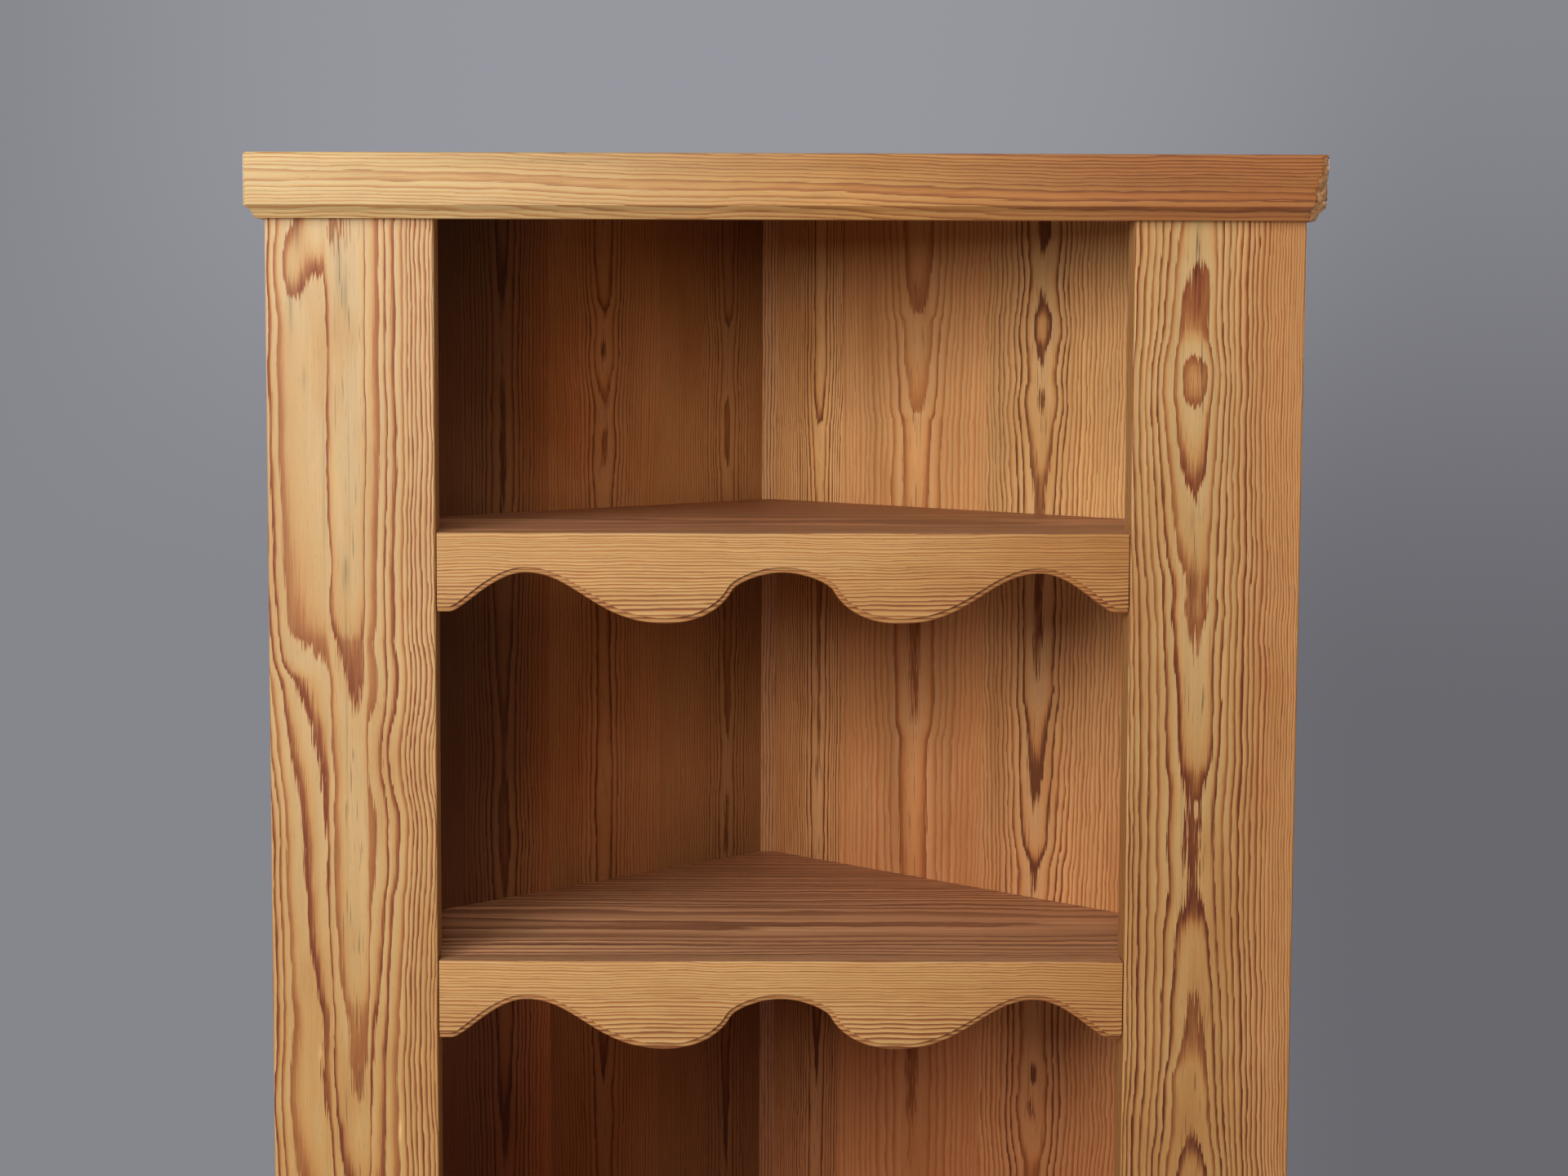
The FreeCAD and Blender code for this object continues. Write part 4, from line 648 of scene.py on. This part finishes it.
class CABINET_OT_stage(bpy.types.Operator):
    """Lays the pale floor, hangs the soft light and sets up the camera"""
    bl_idname = "cabinet.stage"
    bl_label = "Floor, light and camera"

    def execute(self, context):
        studio = context.scene.cabinet_studio
        bpy.ops.object.select_all(action="DESELECT")
        bpy.ops.mesh.primitive_circle_add(vertices=96, radius=studio.floor_radius, fill_type="NGON",
                                          location=(0.0, 0.0, -0.0005))
        floor = context.active_object
        floor.name = "studio_floor"
        bpy.ops.object.transform_apply(location=True)
        # Painted plaster: matt, with a faint unevenness of the paint.
        material, tree = new_material("painted_plaster")
        here = add(tree, "ShaderNodeTexCoord", out="Object")
        paint = add(tree, "ShaderNodeTexNoise", {"Vector": here, "Scale": 1.3, "Detail": 3.0})
        paint = add(tree, "ShaderNodeMapRange", {0: paint, 3: 0.985, 4: 1.015})
        tone = add(tree, "ShaderNodeVectorMath", {0: tuple(studio.floor), "Scale": paint}, operation="SCALE")
        surface = add(tree, "ShaderNodeBsdfPrincipled", {"Base Color": tone, "Roughness": 0.8})
        add(tree, "ShaderNodeOutputMaterial", {"Surface": surface})
        floor.data.materials.append(material)

        world = bpy.data.worlds.new("studio_air")
        context.scene.world = world
        world.use_nodes = True
        tree = world.node_tree
        tree.nodes.clear()
        rays = add(tree, "ShaderNodeLightPath", out="Is Camera Ray").node.outputs
        seen = add(tree, "ShaderNodeMath", {0: rays["Is Camera Ray"], 1: rays["Is Glossy Ray"]}, operation="MAXIMUM")
        seen = add(tree, "ShaderNodeMath", {0: seen, 1: rays["Is Transmission Ray"]}, operation="MAXIMUM")
        even = add(tree, "ShaderNodeBackground", {"Color": (1.0, 0.985, 0.965, 1.0), "Strength": studio.fill})
        # Painted light and shade on the backdrop: a glow paler high up in the middle, and darker low down on the
        # right.
        way = add(tree, "ShaderNodeTexCoord", out="Generated")
        way = add(tree, "ShaderNodeSeparateXYZ", {0: way}).node.outputs
        dim = add(tree, "ShaderNodeMapRange", {0: way[0], 1: 0.05, 2: 0.24, 3: 0.0, 4: 0.42},
                  interpolation_type="SMOOTHSTEP")
        low = add(tree, "ShaderNodeMapRange", {0: way[2], 1: 0.12, 2: -0.14}, interpolation_type="SMOOTHSTEP")
        dim = add(tree, "ShaderNodeMath", {0: dim, 1: low}, operation="MULTIPLY")
        wide = add(tree, "ShaderNodeMath", {0: way[0], 1: way[0]}, operation="MULTIPLY")
        glow = add(tree, "ShaderNodeMapRange", {0: wide, 1: 0.0, 2: 0.07, 3: 0.3, 4: 0.0},
                   interpolation_type="SMOOTHSTEP")
        high = add(tree, "ShaderNodeMapRange", {0: way[2], 1: -0.1, 2: 0.08}, interpolation_type="SMOOTHSTEP")
        glow = add(tree, "ShaderNodeMath", {0: glow, 1: high}, operation="MULTIPLY")
        level = add(tree, "ShaderNodeMath", {0: glow, 1: dim}, operation="SUBTRACT")
        level = add(tree, "ShaderNodeMath", {0: level, 1: 1.0}, operation="ADD")
        back = add(tree, "ShaderNodeBackground", {"Color": rgba(studio.backdrop), "Strength": level})
        both = add(tree, "ShaderNodeMixShader", {0: seen, 1: even, 2: back})
        add(tree, "ShaderNodeOutputWorld", {"Surface": both})

        white = (1.0, 0.98, 0.96)
        for name, place, aim, power, tint in (
                ("soft_box_left", (-1.72, -2.98, 2.34), 1.25, studio.key_power, (1.0, 0.975, 0.94)),
                ("soft_box_above", (-0.35, -2.1, 3.5), 1.2, studio.top_power, white),
                ("soft_box_behind_left", (-2.4, 2.3, 2.2), 0.9, studio.back_power, white),
                ("soft_box_behind_right", (2.4, 2.3, 2.2), 0.9, studio.back_power, white)):
            light = bpy.data.lights.new(name, "AREA")
            light.shape = "SQUARE"
            light.size = studio.key_size
            light.energy = power
            light.color = tint
            lamp = bpy.data.objects.new(name, light)
            context.scene.collection.objects.link(lamp)
            lamp.location = place
            towards = Vector((0.0, 0.0, aim)) - Vector(place)
            lamp.rotation_euler = towards.to_track_quat("-Z", "Y").to_euler()

        # The camera stands a little left of the middle and looks slightly down; the photograph is cut so that the
        # cabinet stands right of its middle.
        yaw, pitch, roll = studio.camera_yaw, studio.camera_pitch, studio.camera_roll
        ahead = Vector((math.sin(yaw) * math.cos(pitch), math.cos(yaw) * math.cos(pitch), -math.sin(pitch)))
        right = Vector((math.cos(yaw), -math.sin(yaw), 0.0))
        up = right.cross(ahead)
        side = right * math.cos(roll) + up * math.sin(roll)
        head = up * math.cos(roll) - right * math.sin(roll)
        lens = bpy.data.cameras.new("photo_camera")
        lens.sensor_width = SENSOR
        lens.lens = FOCAL_PIXELS * SENSOR / PHOTO_WIDTH
        lens.clip_start = 0.05
        lens.shift_x = studio.camera_shift
        camera = bpy.data.objects.new("photo_camera", lens)
        context.scene.collection.objects.link(camera)
        turn = Matrix((side, head, -ahead)).transposed().to_4x4()
        camera.matrix_world = Matrix.Translation(Vector(studio.camera_place)) @ turn
        context.scene.camera = camera
        context.scene.view_settings.view_transform = "Standard"
        return {"FINISHED"}


def between(points, x):
    """A value read off the given points by straight lines."""
    for (x0, y0), (x1, y1) in zip(points, points[1:]):
        if x <= x1:
            return y0 + (y1 - y0) * max(0.0, x - x0) / (x1 - x0)
    return points[-1][1]


def copy_to_wear(node, name):
    """A copy of a CAD node's mesh, which may be worn and then stands for the node."""
    piece = bpy.data.objects.new(name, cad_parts[node].data.copy())
    bpy.context.scene.collection.objects.link(piece)
    bpy.ops.object.select_all(action="DESELECT")
    bpy.context.view_layer.objects.active = piece
    piece.select_set(True)
    bpy.ops.object.mode_set(mode="EDIT")
    bpy.ops.mesh.select_all(action="SELECT")
    bpy.ops.mesh.customdata_custom_splitnormals_clear()
    bpy.ops.mesh.remove_doubles(threshold=0.00001)
    bpy.ops.object.mode_set(mode="OBJECT")
    return piece


def cut_across(piece, wanted, places, direction):
    """Cuts the faces that are wanted at each place, so that they can bend there."""
    for place in places:
        bpy.ops.object.mode_set(mode="OBJECT")
        for part in (piece.data.vertices, piece.data.edges):
            for item in part:
                item.select = False
        for face in piece.data.polygons:
            face.select = wanted(face.center)
        bpy.ops.object.mode_set(mode="EDIT")
        bpy.ops.mesh.select_mode(type="FACE")
        bpy.ops.mesh.bisect(plane_co=place, plane_no=direction)
    bpy.ops.object.mode_set(mode="OBJECT")


# How far the knocked corner is worn back, in mm, at heights in mm over the board's foot.
CORNER_WEAR = [(0, 20.5), (4, 18.5), (6, 15.5), (9, 12.0), (12, 10.0), (20, 9.8), (26, 9.0), (30, 6.8), (36, 5.0),
               (41, 4.4), (44, 5.4), (46, 3.4)]

# How far from the top board's end, in metres, its faces are cut finely enough to be worn.
KNOCK = 0.034


class CABINET_OT_top(bpy.types.Operator):
    """Gives the top board its level grain, pale at the left and redder at the right, and its knocked corner"""
    bl_idname = "cabinet.top"
    bl_label = "Top board"

    def execute(self, context):
        wood = context.scene.cabinet_pine
        tones = [(-383, wood.top_early, wood.top_late)]
        for x, share in ((-250, 0.14), (-110, 0.55)):
            tones.append((x, halfway(wood.top_early, wood.top_mid_early, share),
                          halfway(wood.top_late, wood.top_mid_late, share)))
        tones += [(60, wood.top_mid_early, wood.top_mid_late), (250, wood.top_red_early, wood.top_red_late),
                  (383, wood.top_red_early, wood.top_red_late)]
        board = Board(LEVEL, (0.0, FACE, STILE_TOP / MM), TOP_ACROSS,
                      [(-383, 0.1), (-200, 0.3), (-90, 0.2), (60, 0.3), (200, 0.2), (383, 0.3)], tones, hold=20.0,
                      wander=[(-383, 30), (-230, 29), (-100, 24), (0, 23), (150, 18), (383, 16)], bend=0.6,
                      ripple=0.8, narrow=((-20, 0.9), (0, 1.3), (20, 0.9)), patina=0.0, checks=0.1,
                      marks=TOP_MARKS, seed=3.1)
        waxed = pine("waxed_pine_top", board)

        # The front right corner has been knocked: its fibres are broken back to bare wood.
        low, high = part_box("top_board")
        top = copy_to_wear("top_board", "worn_top_board")
        near_end = high.x - KNOCK
        # The faces near that end are cut into strips of 2 mm, and of 1.5 mm upwards.
        cut_across(top, lambda middle: True, [(high.x - 0.002 * i, 0, 0) for i in range(18)], (1, 0, 0))
        cut_across(top, lambda middle: middle.x > near_end and middle.y < low.y + 0.2,
                   [(0, low.y + 0.002 * i, 0) for i in range(1, 16)], (0, 1, 0))
        cut_across(top, lambda middle: middle.x > near_end and middle.y < low.y + 0.032,
                   [(0, 0, low.z + 0.0015 * i) for i in range(1, 31)], (0, 0, 1))

        def knocked(spot):
            """How much further in than this spot the broken face lies, in metres."""
            rise = (spot.z - low.z) * MM
            ragged = noise.noise(Vector((spot.x * 90, spot.y * 260, spot.z * 900))) * 1.5
            ragged += noise.noise(Vector((spot.x * 30 + 7, spot.y * 60, spot.z * 240))) * 1.4
            return (between(CORNER_WEAR, rise) + ragged) / MM - (high.x - spot.x) - (spot.y - low.y)

        broken = set()
        for vertex in top.data.vertices:
            over = knocked(vertex.co)
            if over > 0:
                vertex.co += Vector((-over / 2, over / 2, 0))
                broken.add(vertex.index)
        # Broken pine fibres, never waxed: torn lengthways, dull, pale on their ridges and dirty between them, and
        # painted paler than bare pine as light on a face that the soft box doesn't reach.
        bare, tree = new_material("broken_pine_fibres")
        here = add(tree, "ShaderNodeTexCoord", out="Object")
        fibres = add(tree, "ShaderNodeVectorMath", {0: here, 1: (160.0, 700.0, 1300.0)}, operation="MULTIPLY")
        fibres = add(tree, "ShaderNodeTexNoise", {"Vector": fibres, "Scale": 1.0, "Detail": 3.0})
        hollow = add(tree, "ShaderNodeMapRange", {0: fibres, 1: 0.32, 2: 0.56, 3: 1.0, 4: 0.0})
        tone = add(tree, "ShaderNodeMix", {0: hollow, 6: rgba(wood.bare), 7: rgba(wood.bare_dark)}, out=2,
                   data_type="RGBA")
        bump = add(tree, "ShaderNodeBump", {"Strength": 0.6, "Distance": 0.0006, "Height": fibres})
        surface = add(tree, "ShaderNodeBsdfPrincipled", {"Base Color": tone, "Roughness": 0.85, "Normal": bump})
        add(tree, "ShaderNodeOutputMaterial", {"Surface": surface})
        top.data.materials.clear()
        top.data.materials.append(waxed)
        top.data.materials.append(bare)
        for face in top.data.polygons:
            face.material_index = 1 if all(index in broken for index in face.vertices) else 0
        bpy.ops.object.mode_set(mode="EDIT")
        bpy.ops.mesh.select_all(action="SELECT")
        bpy.ops.mesh.normals_make_consistent(inside=False)
        bpy.ops.object.mode_set(mode="OBJECT")
        bpy.ops.object.shade_smooth_by_angle(angle=math.radians(30))
        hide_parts("top_board")
        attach(top, "cabinet")
        return {"FINISHED"}


class CABINET_OT_stiles(bpy.types.Operator):
    """Gives both stiles the arches, ovals and straight lines of a plain-sawn pine board"""
    bl_idname = "cabinet.stiles"
    bl_label = "Stiles"

    def execute(self, context):
        wood = context.scene.cabinet_pine
        left = Board(UPRIGHT, (-0.312, FACE, 0.0), LEFT_STILE_ACROSS, LEFT_STILE_CLIMB,
                     [(0, wood.left_low, wood.left_low_late), (1060, wood.left_low, wood.left_low_late),
                      (STILE_TOP, wood.left_early, wood.left_late)],
                     left=LEFT_STILE_LEFT, right=LEFT_STILE_RIGHT, eddies=LEFT_STILE_EDDIES,
                     marks=LEFT_STILE_MARKS, narrow=((-60, 1.0), (-20, 1.25), (18, 1.1), (45, 0.9)), seed=1.3)
        right = Board(UPRIGHT, (0.293, FACE, 0.0), RIGHT_STILE_ACROSS, RIGHT_STILE_CLIMB,
                      [(0, wood.right_low, wood.right_low_late), (1060, wood.right_low, wood.right_low_late),
                       (STILE_TOP, wood.right_early, wood.right_late)],
                      wander=[(0, 7), (1100, 7), (1206, 6), (1480, 3.5), (1640, -0.5), (1754, 0.5)],
                      hold=30.0, fade=0.7, narrow=((-40, 1.0), (-10, 1.2), (10, 1.2), (30, 0.9)),
                      marks=RIGHT_STILE_MARKS, eddies=RIGHT_STILE_EDDIES,
                      quiet=((-60, 1.0), (26, 1.0), (46, 0.95), (56, 0.78), (80, 0.65)),
                      heartwood=((20, 0.0), (38, 0.4), (48, 0.85), (80, 1.0)), seed=2.6)
        dress("left_stile", pine("waxed_pine_left_stile", left))
        dress("right_stile", pine("waxed_pine_right_stile", right))
        return {"FINISHED"}


class CABINET_OT_aprons(bpy.types.Operator):
    """Gives the shaped aprons and the waist rail their fine level lines"""
    bl_idname = "cabinet.aprons"
    bl_label = "Aprons and waist rail"

    def execute(self, context):
        wood = context.scene.cabinet_pine
        for n, node in enumerate(("upper_apron", "middle_apron", "plinth_apron", "waist_rail")):
            # The middle of the figure lies 80 mm under the upper edge, and from there the rings get narrower upwards.
            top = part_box(node)[1].z
            tones = [(-250, wood.apron_early, wood.apron_late), (60, wood.apron_early, wood.apron_late),
                     (250, wood.apron_right, wood.apron_right_late)]
            board = Board(LEVEL, (0.0, FACE, top - 0.08), APRON_ACROSS, drawn_climb(n + 4, (-250, 250), 6, 1.2),
                          tones, bend=0.5, ripple=0.9, quiet=((0, 1.25), (30, 1.1), (50, 0.85), (90, 0.75)), step=0.2,
                          narrow=((0, 1.1), (30, 0.85)), checks=0.0, seed=4.4 + 3.7 * n)
            dress(node, pine("waxed_pine_%s" % node, board))
        return {"FINISHED"}


class CABINET_OT_shelves(bpy.types.Operator):
    """Gives the shelves their worn, greyed tops"""
    bl_idname = "cabinet.shelves"
    bl_label = "Shelves"

    def execute(self, context):
        wood = context.scene.cabinet_pine
        for n, (level, pale, red) in enumerate(SHELVES):
            node = level + "_shelf"
            low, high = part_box(node)
            tones = [(x, aged(wood.shelf_early, pale * share, red * redness),
                      aged(wood.shelf_late, pale * share, red * redness)) for x, share, redness in SHELF_SHADE]
            board = Board(FLAT, (0.0, low.y + 0.11, high.z), arched(90.0, 8.0, 330),
                          drawn_climb(n + 20, (-352, 352), 7, 3.0), tones, bend=1.0, ripple=3.0, contrast=0.9,
                          marks=SHELF_MARKS, shelf=True, seed=21.3 + 2.9 * n)
            dress(node, pine("worn_pine_%s" % node, board))
        return {"FINISHED"}


class CABINET_OT_backs(bpy.types.Operator):
    """Gives every back board, the side boards and the corner batten a figure of its own"""
    bl_idname = "cabinet.backs"
    bl_label = "Backs and sides"

    def execute(self, context):
        wood = context.scene.cabinet_pine
        # The outer faces and the sides got less wax and have one even tone.
        behind = (darker(wood.back_early, 0.8), darker(wood.back_late, 0.9))
        for n, (node, (side, along, painted_shade_and_red, sawn)) in enumerate(BACK_BOARDS.items()):
            # Each board takes its wall's painted shade, darker where the top board, the shelves and the stiles cast
            # shadow.
            lies, shades = (ON_RIGHT_WALL, RIGHT_WALL_PAINTED_SHADE) if side > 0 else (ON_LEFT_WALL, LEFT_WALL_PAINTED_SHADE)
            board = Board(lies, wall_point(side, along), tones=painted_wall_shade_tones(wood, shades, *painted_shade_and_red), behind=behind,
                          seed=40.7 + 5.3 * n, quiet=BACK_QUIET, **sawn)
            dress(node, pine("waxed_pine_%s" % node, board))
        for n, node in enumerate(("left_side_board", "right_side_board")):
            low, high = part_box(node)
            board = Board(SIDEWAYS, ((low.x + high.x) / 2, (low.y + high.y) / 2, 0.0), arched(40.0, 2.7),
                          drawn_climb(50 + n, (0, 1754)), plain_tones(*behind), seed=90.1 + 4.1 * n)
            dress(node, pine("waxed_pine_%s" % node, board))
        low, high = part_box("corner_batten")
        # The corner batten takes the right wall's painted shade.
        board = Board(UPRIGHT, (0.0, low.y, 0.0), BATTEN_ACROSS, drawn_climb(52, (0, 1780), 17, 3.0),
                      painted_wall_shade_tones(wood, RIGHT_WALL_PAINTED_SHADE, 1.12, 0.95, 0.96), behind=behind, ripple=1.2, sway=1.6,
                      bend=0.9, seed=98.3)
        dress("corner_batten", pine("waxed_pine_corner_batten", board))
        return {"FINISHED"}


class CABINET_OT_door(bpy.types.Operator):
    """Gives the door's frame and raised panel their grain"""
    bl_idname = "cabinet.door"
    bl_label = "Door"

    def execute(self, context):
        wood = context.scene.cabinet_pine
        early = halfway(wood.left_low, wood.apron_early, 0.5)
        for n, (node, lies, pith) in enumerate((
                ("door_hinge_stile", UPRIGHT, 40.0), ("door_lock_stile", UPRIGHT, 32.0),
                ("door_top_rail", LEVEL, 36.0), ("door_bottom_rail", LEVEL, 30.0), ("door_panel", UPRIGHT, 58.0))):
            low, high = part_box(node)
            middle = (low + high) / 2
            if lies is UPRIGHT:
                heart, span = (middle.x, FACE, 0.0), (0, 1000)
            else:
                heart, span = (0.0, FACE, middle.z), (-250, 250)
            board = Board(lies, heart, arched(pith, 2.6, 260), drawn_climb(60 + n, span, 8, 3.0),
                          plain_tones(early, wood.left_low_late, span), seed=110.3 + 6.1 * n)
            dress(node, pine("waxed_pine_%s" % node, board))
        return {"FINISHED"}


class CABINET_OT_rough(bpy.types.Operator):
    """Gives cleats, glue blocks and the door stop plain sawn wood"""
    bl_idname = "cabinet.rough"
    bl_label = "Cleats and blocks"

    def execute(self, context):
        wood = context.scene.cabinet_pine
        tones = plain_tones(wood.rough_early, wood.rough_late)
        for n, side in enumerate(("left", "right")):
            board = Board(FLAT, (0.0, FACE + 0.1, 1.0), arched(45.0, 2.7, 400), drawn_climb(70 + n, (-400, 400), 6),
                          tones, seed=140.9 + 3.3 * n, patina=0.0)
            material = pine("sawn_pine_%s_cleats" % side, board)
            for level in ("upper", "middle", "waist", "cupboard", "plinth"):
                dress("%s_%s_cleat" % (level, side), material)
        board = Board(LEVEL, (0.0, FACE + 0.05, 1.0), arched(45.0, 2.7, 1000), drawn_climb(75, (-400, 400), 6), tones,
                      seed=151.7, patina=0.0)
        material = pine("sawn_pine_blocks", board)
        for node in ("upper_glue_blocks", "middle_glue_blocks", "plinth_glue_blocks"):
            dress(node, material)
        low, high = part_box("door_stop")
        board = Board(UPRIGHT, ((low.x + high.x) / 2, low.y, 0.0), arched(30.0, 2.7), drawn_climb(76, (0, 1000), 6),
                      tones, seed=160.1, patina=0.0)
        dress("door_stop", pine("sawn_pine_door_stop", board))
        return {"FINISHED"}


class CABINET_OT_fittings(bpy.types.Operator):
    """Gives hinges, screws, nails, pegs and the latch their finish"""
    bl_idname = "cabinet.fittings"
    bl_label = "Fittings"

    def execute(self, context):
        tone = context.scene.cabinet_fittings
        # Cast and filed brass: a warm shine under a brown film of tarnish in patches, and fine scratches.
        brass, tree = new_material("aged_brass")
        here = add(tree, "ShaderNodeTexCoord", out="Object")
        cloud = add(tree, "ShaderNodeTexNoise", {"Vector": here, "Scale": 130.0, "Detail": 4.0})
        film = add(tree, "ShaderNodeMapRange", {0: cloud, 1: 0.38, 2: 0.66, 3: 0.1, 4: 0.85})
        metal = add(tree, "ShaderNodeMix", {0: film, 6: rgba(tone.brass), 7: rgba(tone.tarnish)}, out=2,
                    data_type="RGBA")
        rough = add(tree, "ShaderNodeMapRange", {0: film, 3: 0.28, 4: 0.52})
        scratch = add(tree, "ShaderNodeTexNoise", {"Vector": here, "Scale": 900.0, "Detail": 2.0})
        bump = add(tree, "ShaderNodeBump", {"Strength": 0.12, "Distance": 0.0002, "Height": scratch})
        surface = add(tree, "ShaderNodeBsdfPrincipled", {"Base Color": metal, "Metallic": 1.0, "Roughness": rough,
                                                         "Normal": bump})
        add(tree, "ShaderNodeOutputMaterial", {"Surface": surface})
        # Drawn steel, browned by age: dull, with faint mottling.
        steel, tree = new_material("browned_steel")
        here = add(tree, "ShaderNodeTexCoord", out="Object")
        cloud = add(tree, "ShaderNodeTexNoise", {"Vector": here, "Scale": 260.0, "Detail": 3.0})
        shade = add(tree, "ShaderNodeMapRange", {0: cloud, 1: 0.3, 2: 0.7, 3: 0.7, 4: 1.15})
        metal = add(tree, "ShaderNodeVectorMath", {0: tuple(tone.steel), "Scale": shade}, operation="SCALE")
        rough = add(tree, "ShaderNodeMapRange", {0: cloud, 1: 0.3, 2: 0.7, 3: 0.36, 4: 0.58})
        surface = add(tree, "ShaderNodeBsdfPrincipled", {"Base Color": metal, "Metallic": 1.0, "Roughness": rough})
        add(tree, "ShaderNodeOutputMaterial", {"Surface": surface})
        # Turned and stained beech, oiled: short dark pores along its grain, a soft shine from handling.
        turned, tree = new_material("turned_beech")
        here = add(tree, "ShaderNodeTexCoord", out="Object")
        grain = add(tree, "ShaderNodeVectorMath", {0: here, 1: (900.0, 90.0, 900.0)}, operation="MULTIPLY")
        pores = add(tree, "ShaderNodeTexNoise", {"Vector": grain, "Scale": 1.0, "Detail": 3.0})
        dark = add(tree, "ShaderNodeMapRange", {0: pores, 1: 0.42, 2: 0.68, 3: 0.0, 4: 1.0})
        wood = add(tree, "ShaderNodeMix", {0: dark, 6: rgba(tone.knob_early), 7: rgba(tone.knob_late)}, out=2,
                   data_type="RGBA")
        bump = add(tree, "ShaderNodeBump", {"Strength": 0.15, "Distance": 0.0002, "Height": pores})
        surface = add(tree, "ShaderNodeBsdfPrincipled", {"Base Color": wood, "Roughness": 0.38, "Normal": bump})
        add(tree, "ShaderNodeOutputMaterial", {"Surface": surface})
        for level in ("upper", "lower"):
            for leaf in ("frame_leaf", "door_leaf", "pin"):
                dress("%s_hinge_%s" % (level, leaf), brass)
        for node in ("latch_rose", "latch_keep"):
            dress(node, brass)
        for node in ("frame_screws", "door_screws", "back_nails", "latch_spindle", "latch_collar", "latch_tongue",
                     "latch_nut"):
            dress(node, steel)
        for node in ("top_dowels", "door_pegs", "latch_knob"):
            dress(node, turned)
        return {"FINISHED"}


STEPS = (CABINET_OT_stage, CABINET_OT_top, CABINET_OT_stiles, CABINET_OT_aprons, CABINET_OT_shelves,
         CABINET_OT_backs, CABINET_OT_door, CABINET_OT_rough, CABINET_OT_fittings)


class CABINET_PT_panel(bpy.types.Panel):
    """Lists the steps and the values that they use"""
    bl_idname = "CABINET_PT_panel"
    bl_label = "Corner cabinet"
    bl_space_type = "VIEW_3D"
    bl_region_type = "UI"
    bl_category = "Cabinet"

    def draw(self, context):
        for step in STEPS:
            self.layout.operator(step.bl_idname)
        for group in (context.scene.cabinet_pine, context.scene.cabinet_fittings, context.scene.cabinet_studio):
            box = self.layout.box()
            for key in group.__annotations__:
                box.prop(group, key)


GROUPS = (("cabinet_pine", CabinetPine), ("cabinet_fittings", CabinetFittings), ("cabinet_studio", CabinetStudio))


def register():
    for key, group in GROUPS:
        bpy.utils.register_class(group)
        setattr(bpy.types.Scene, key, PointerProperty(type=group))
    for step in STEPS:
        bpy.utils.register_class(step)
    bpy.utils.register_class(CABINET_PT_panel)


def unregister():
    bpy.utils.unregister_class(CABINET_PT_panel)
    for step in reversed(STEPS):
        bpy.utils.unregister_class(step)
    for key, group in reversed(GROUPS):
        delattr(bpy.types.Scene, key)
        bpy.utils.unregister_class(group)


def main():
    register()
    bpy.ops.cabinet.stage()
    bpy.ops.cabinet.top()
    bpy.ops.cabinet.stiles()
    bpy.ops.cabinet.aprons()
    bpy.ops.cabinet.shelves()
    bpy.ops.cabinet.backs()
    bpy.ops.cabinet.door()
    bpy.ops.cabinet.rough()
    bpy.ops.cabinet.fittings()


if __name__ == "__main__":
    main()
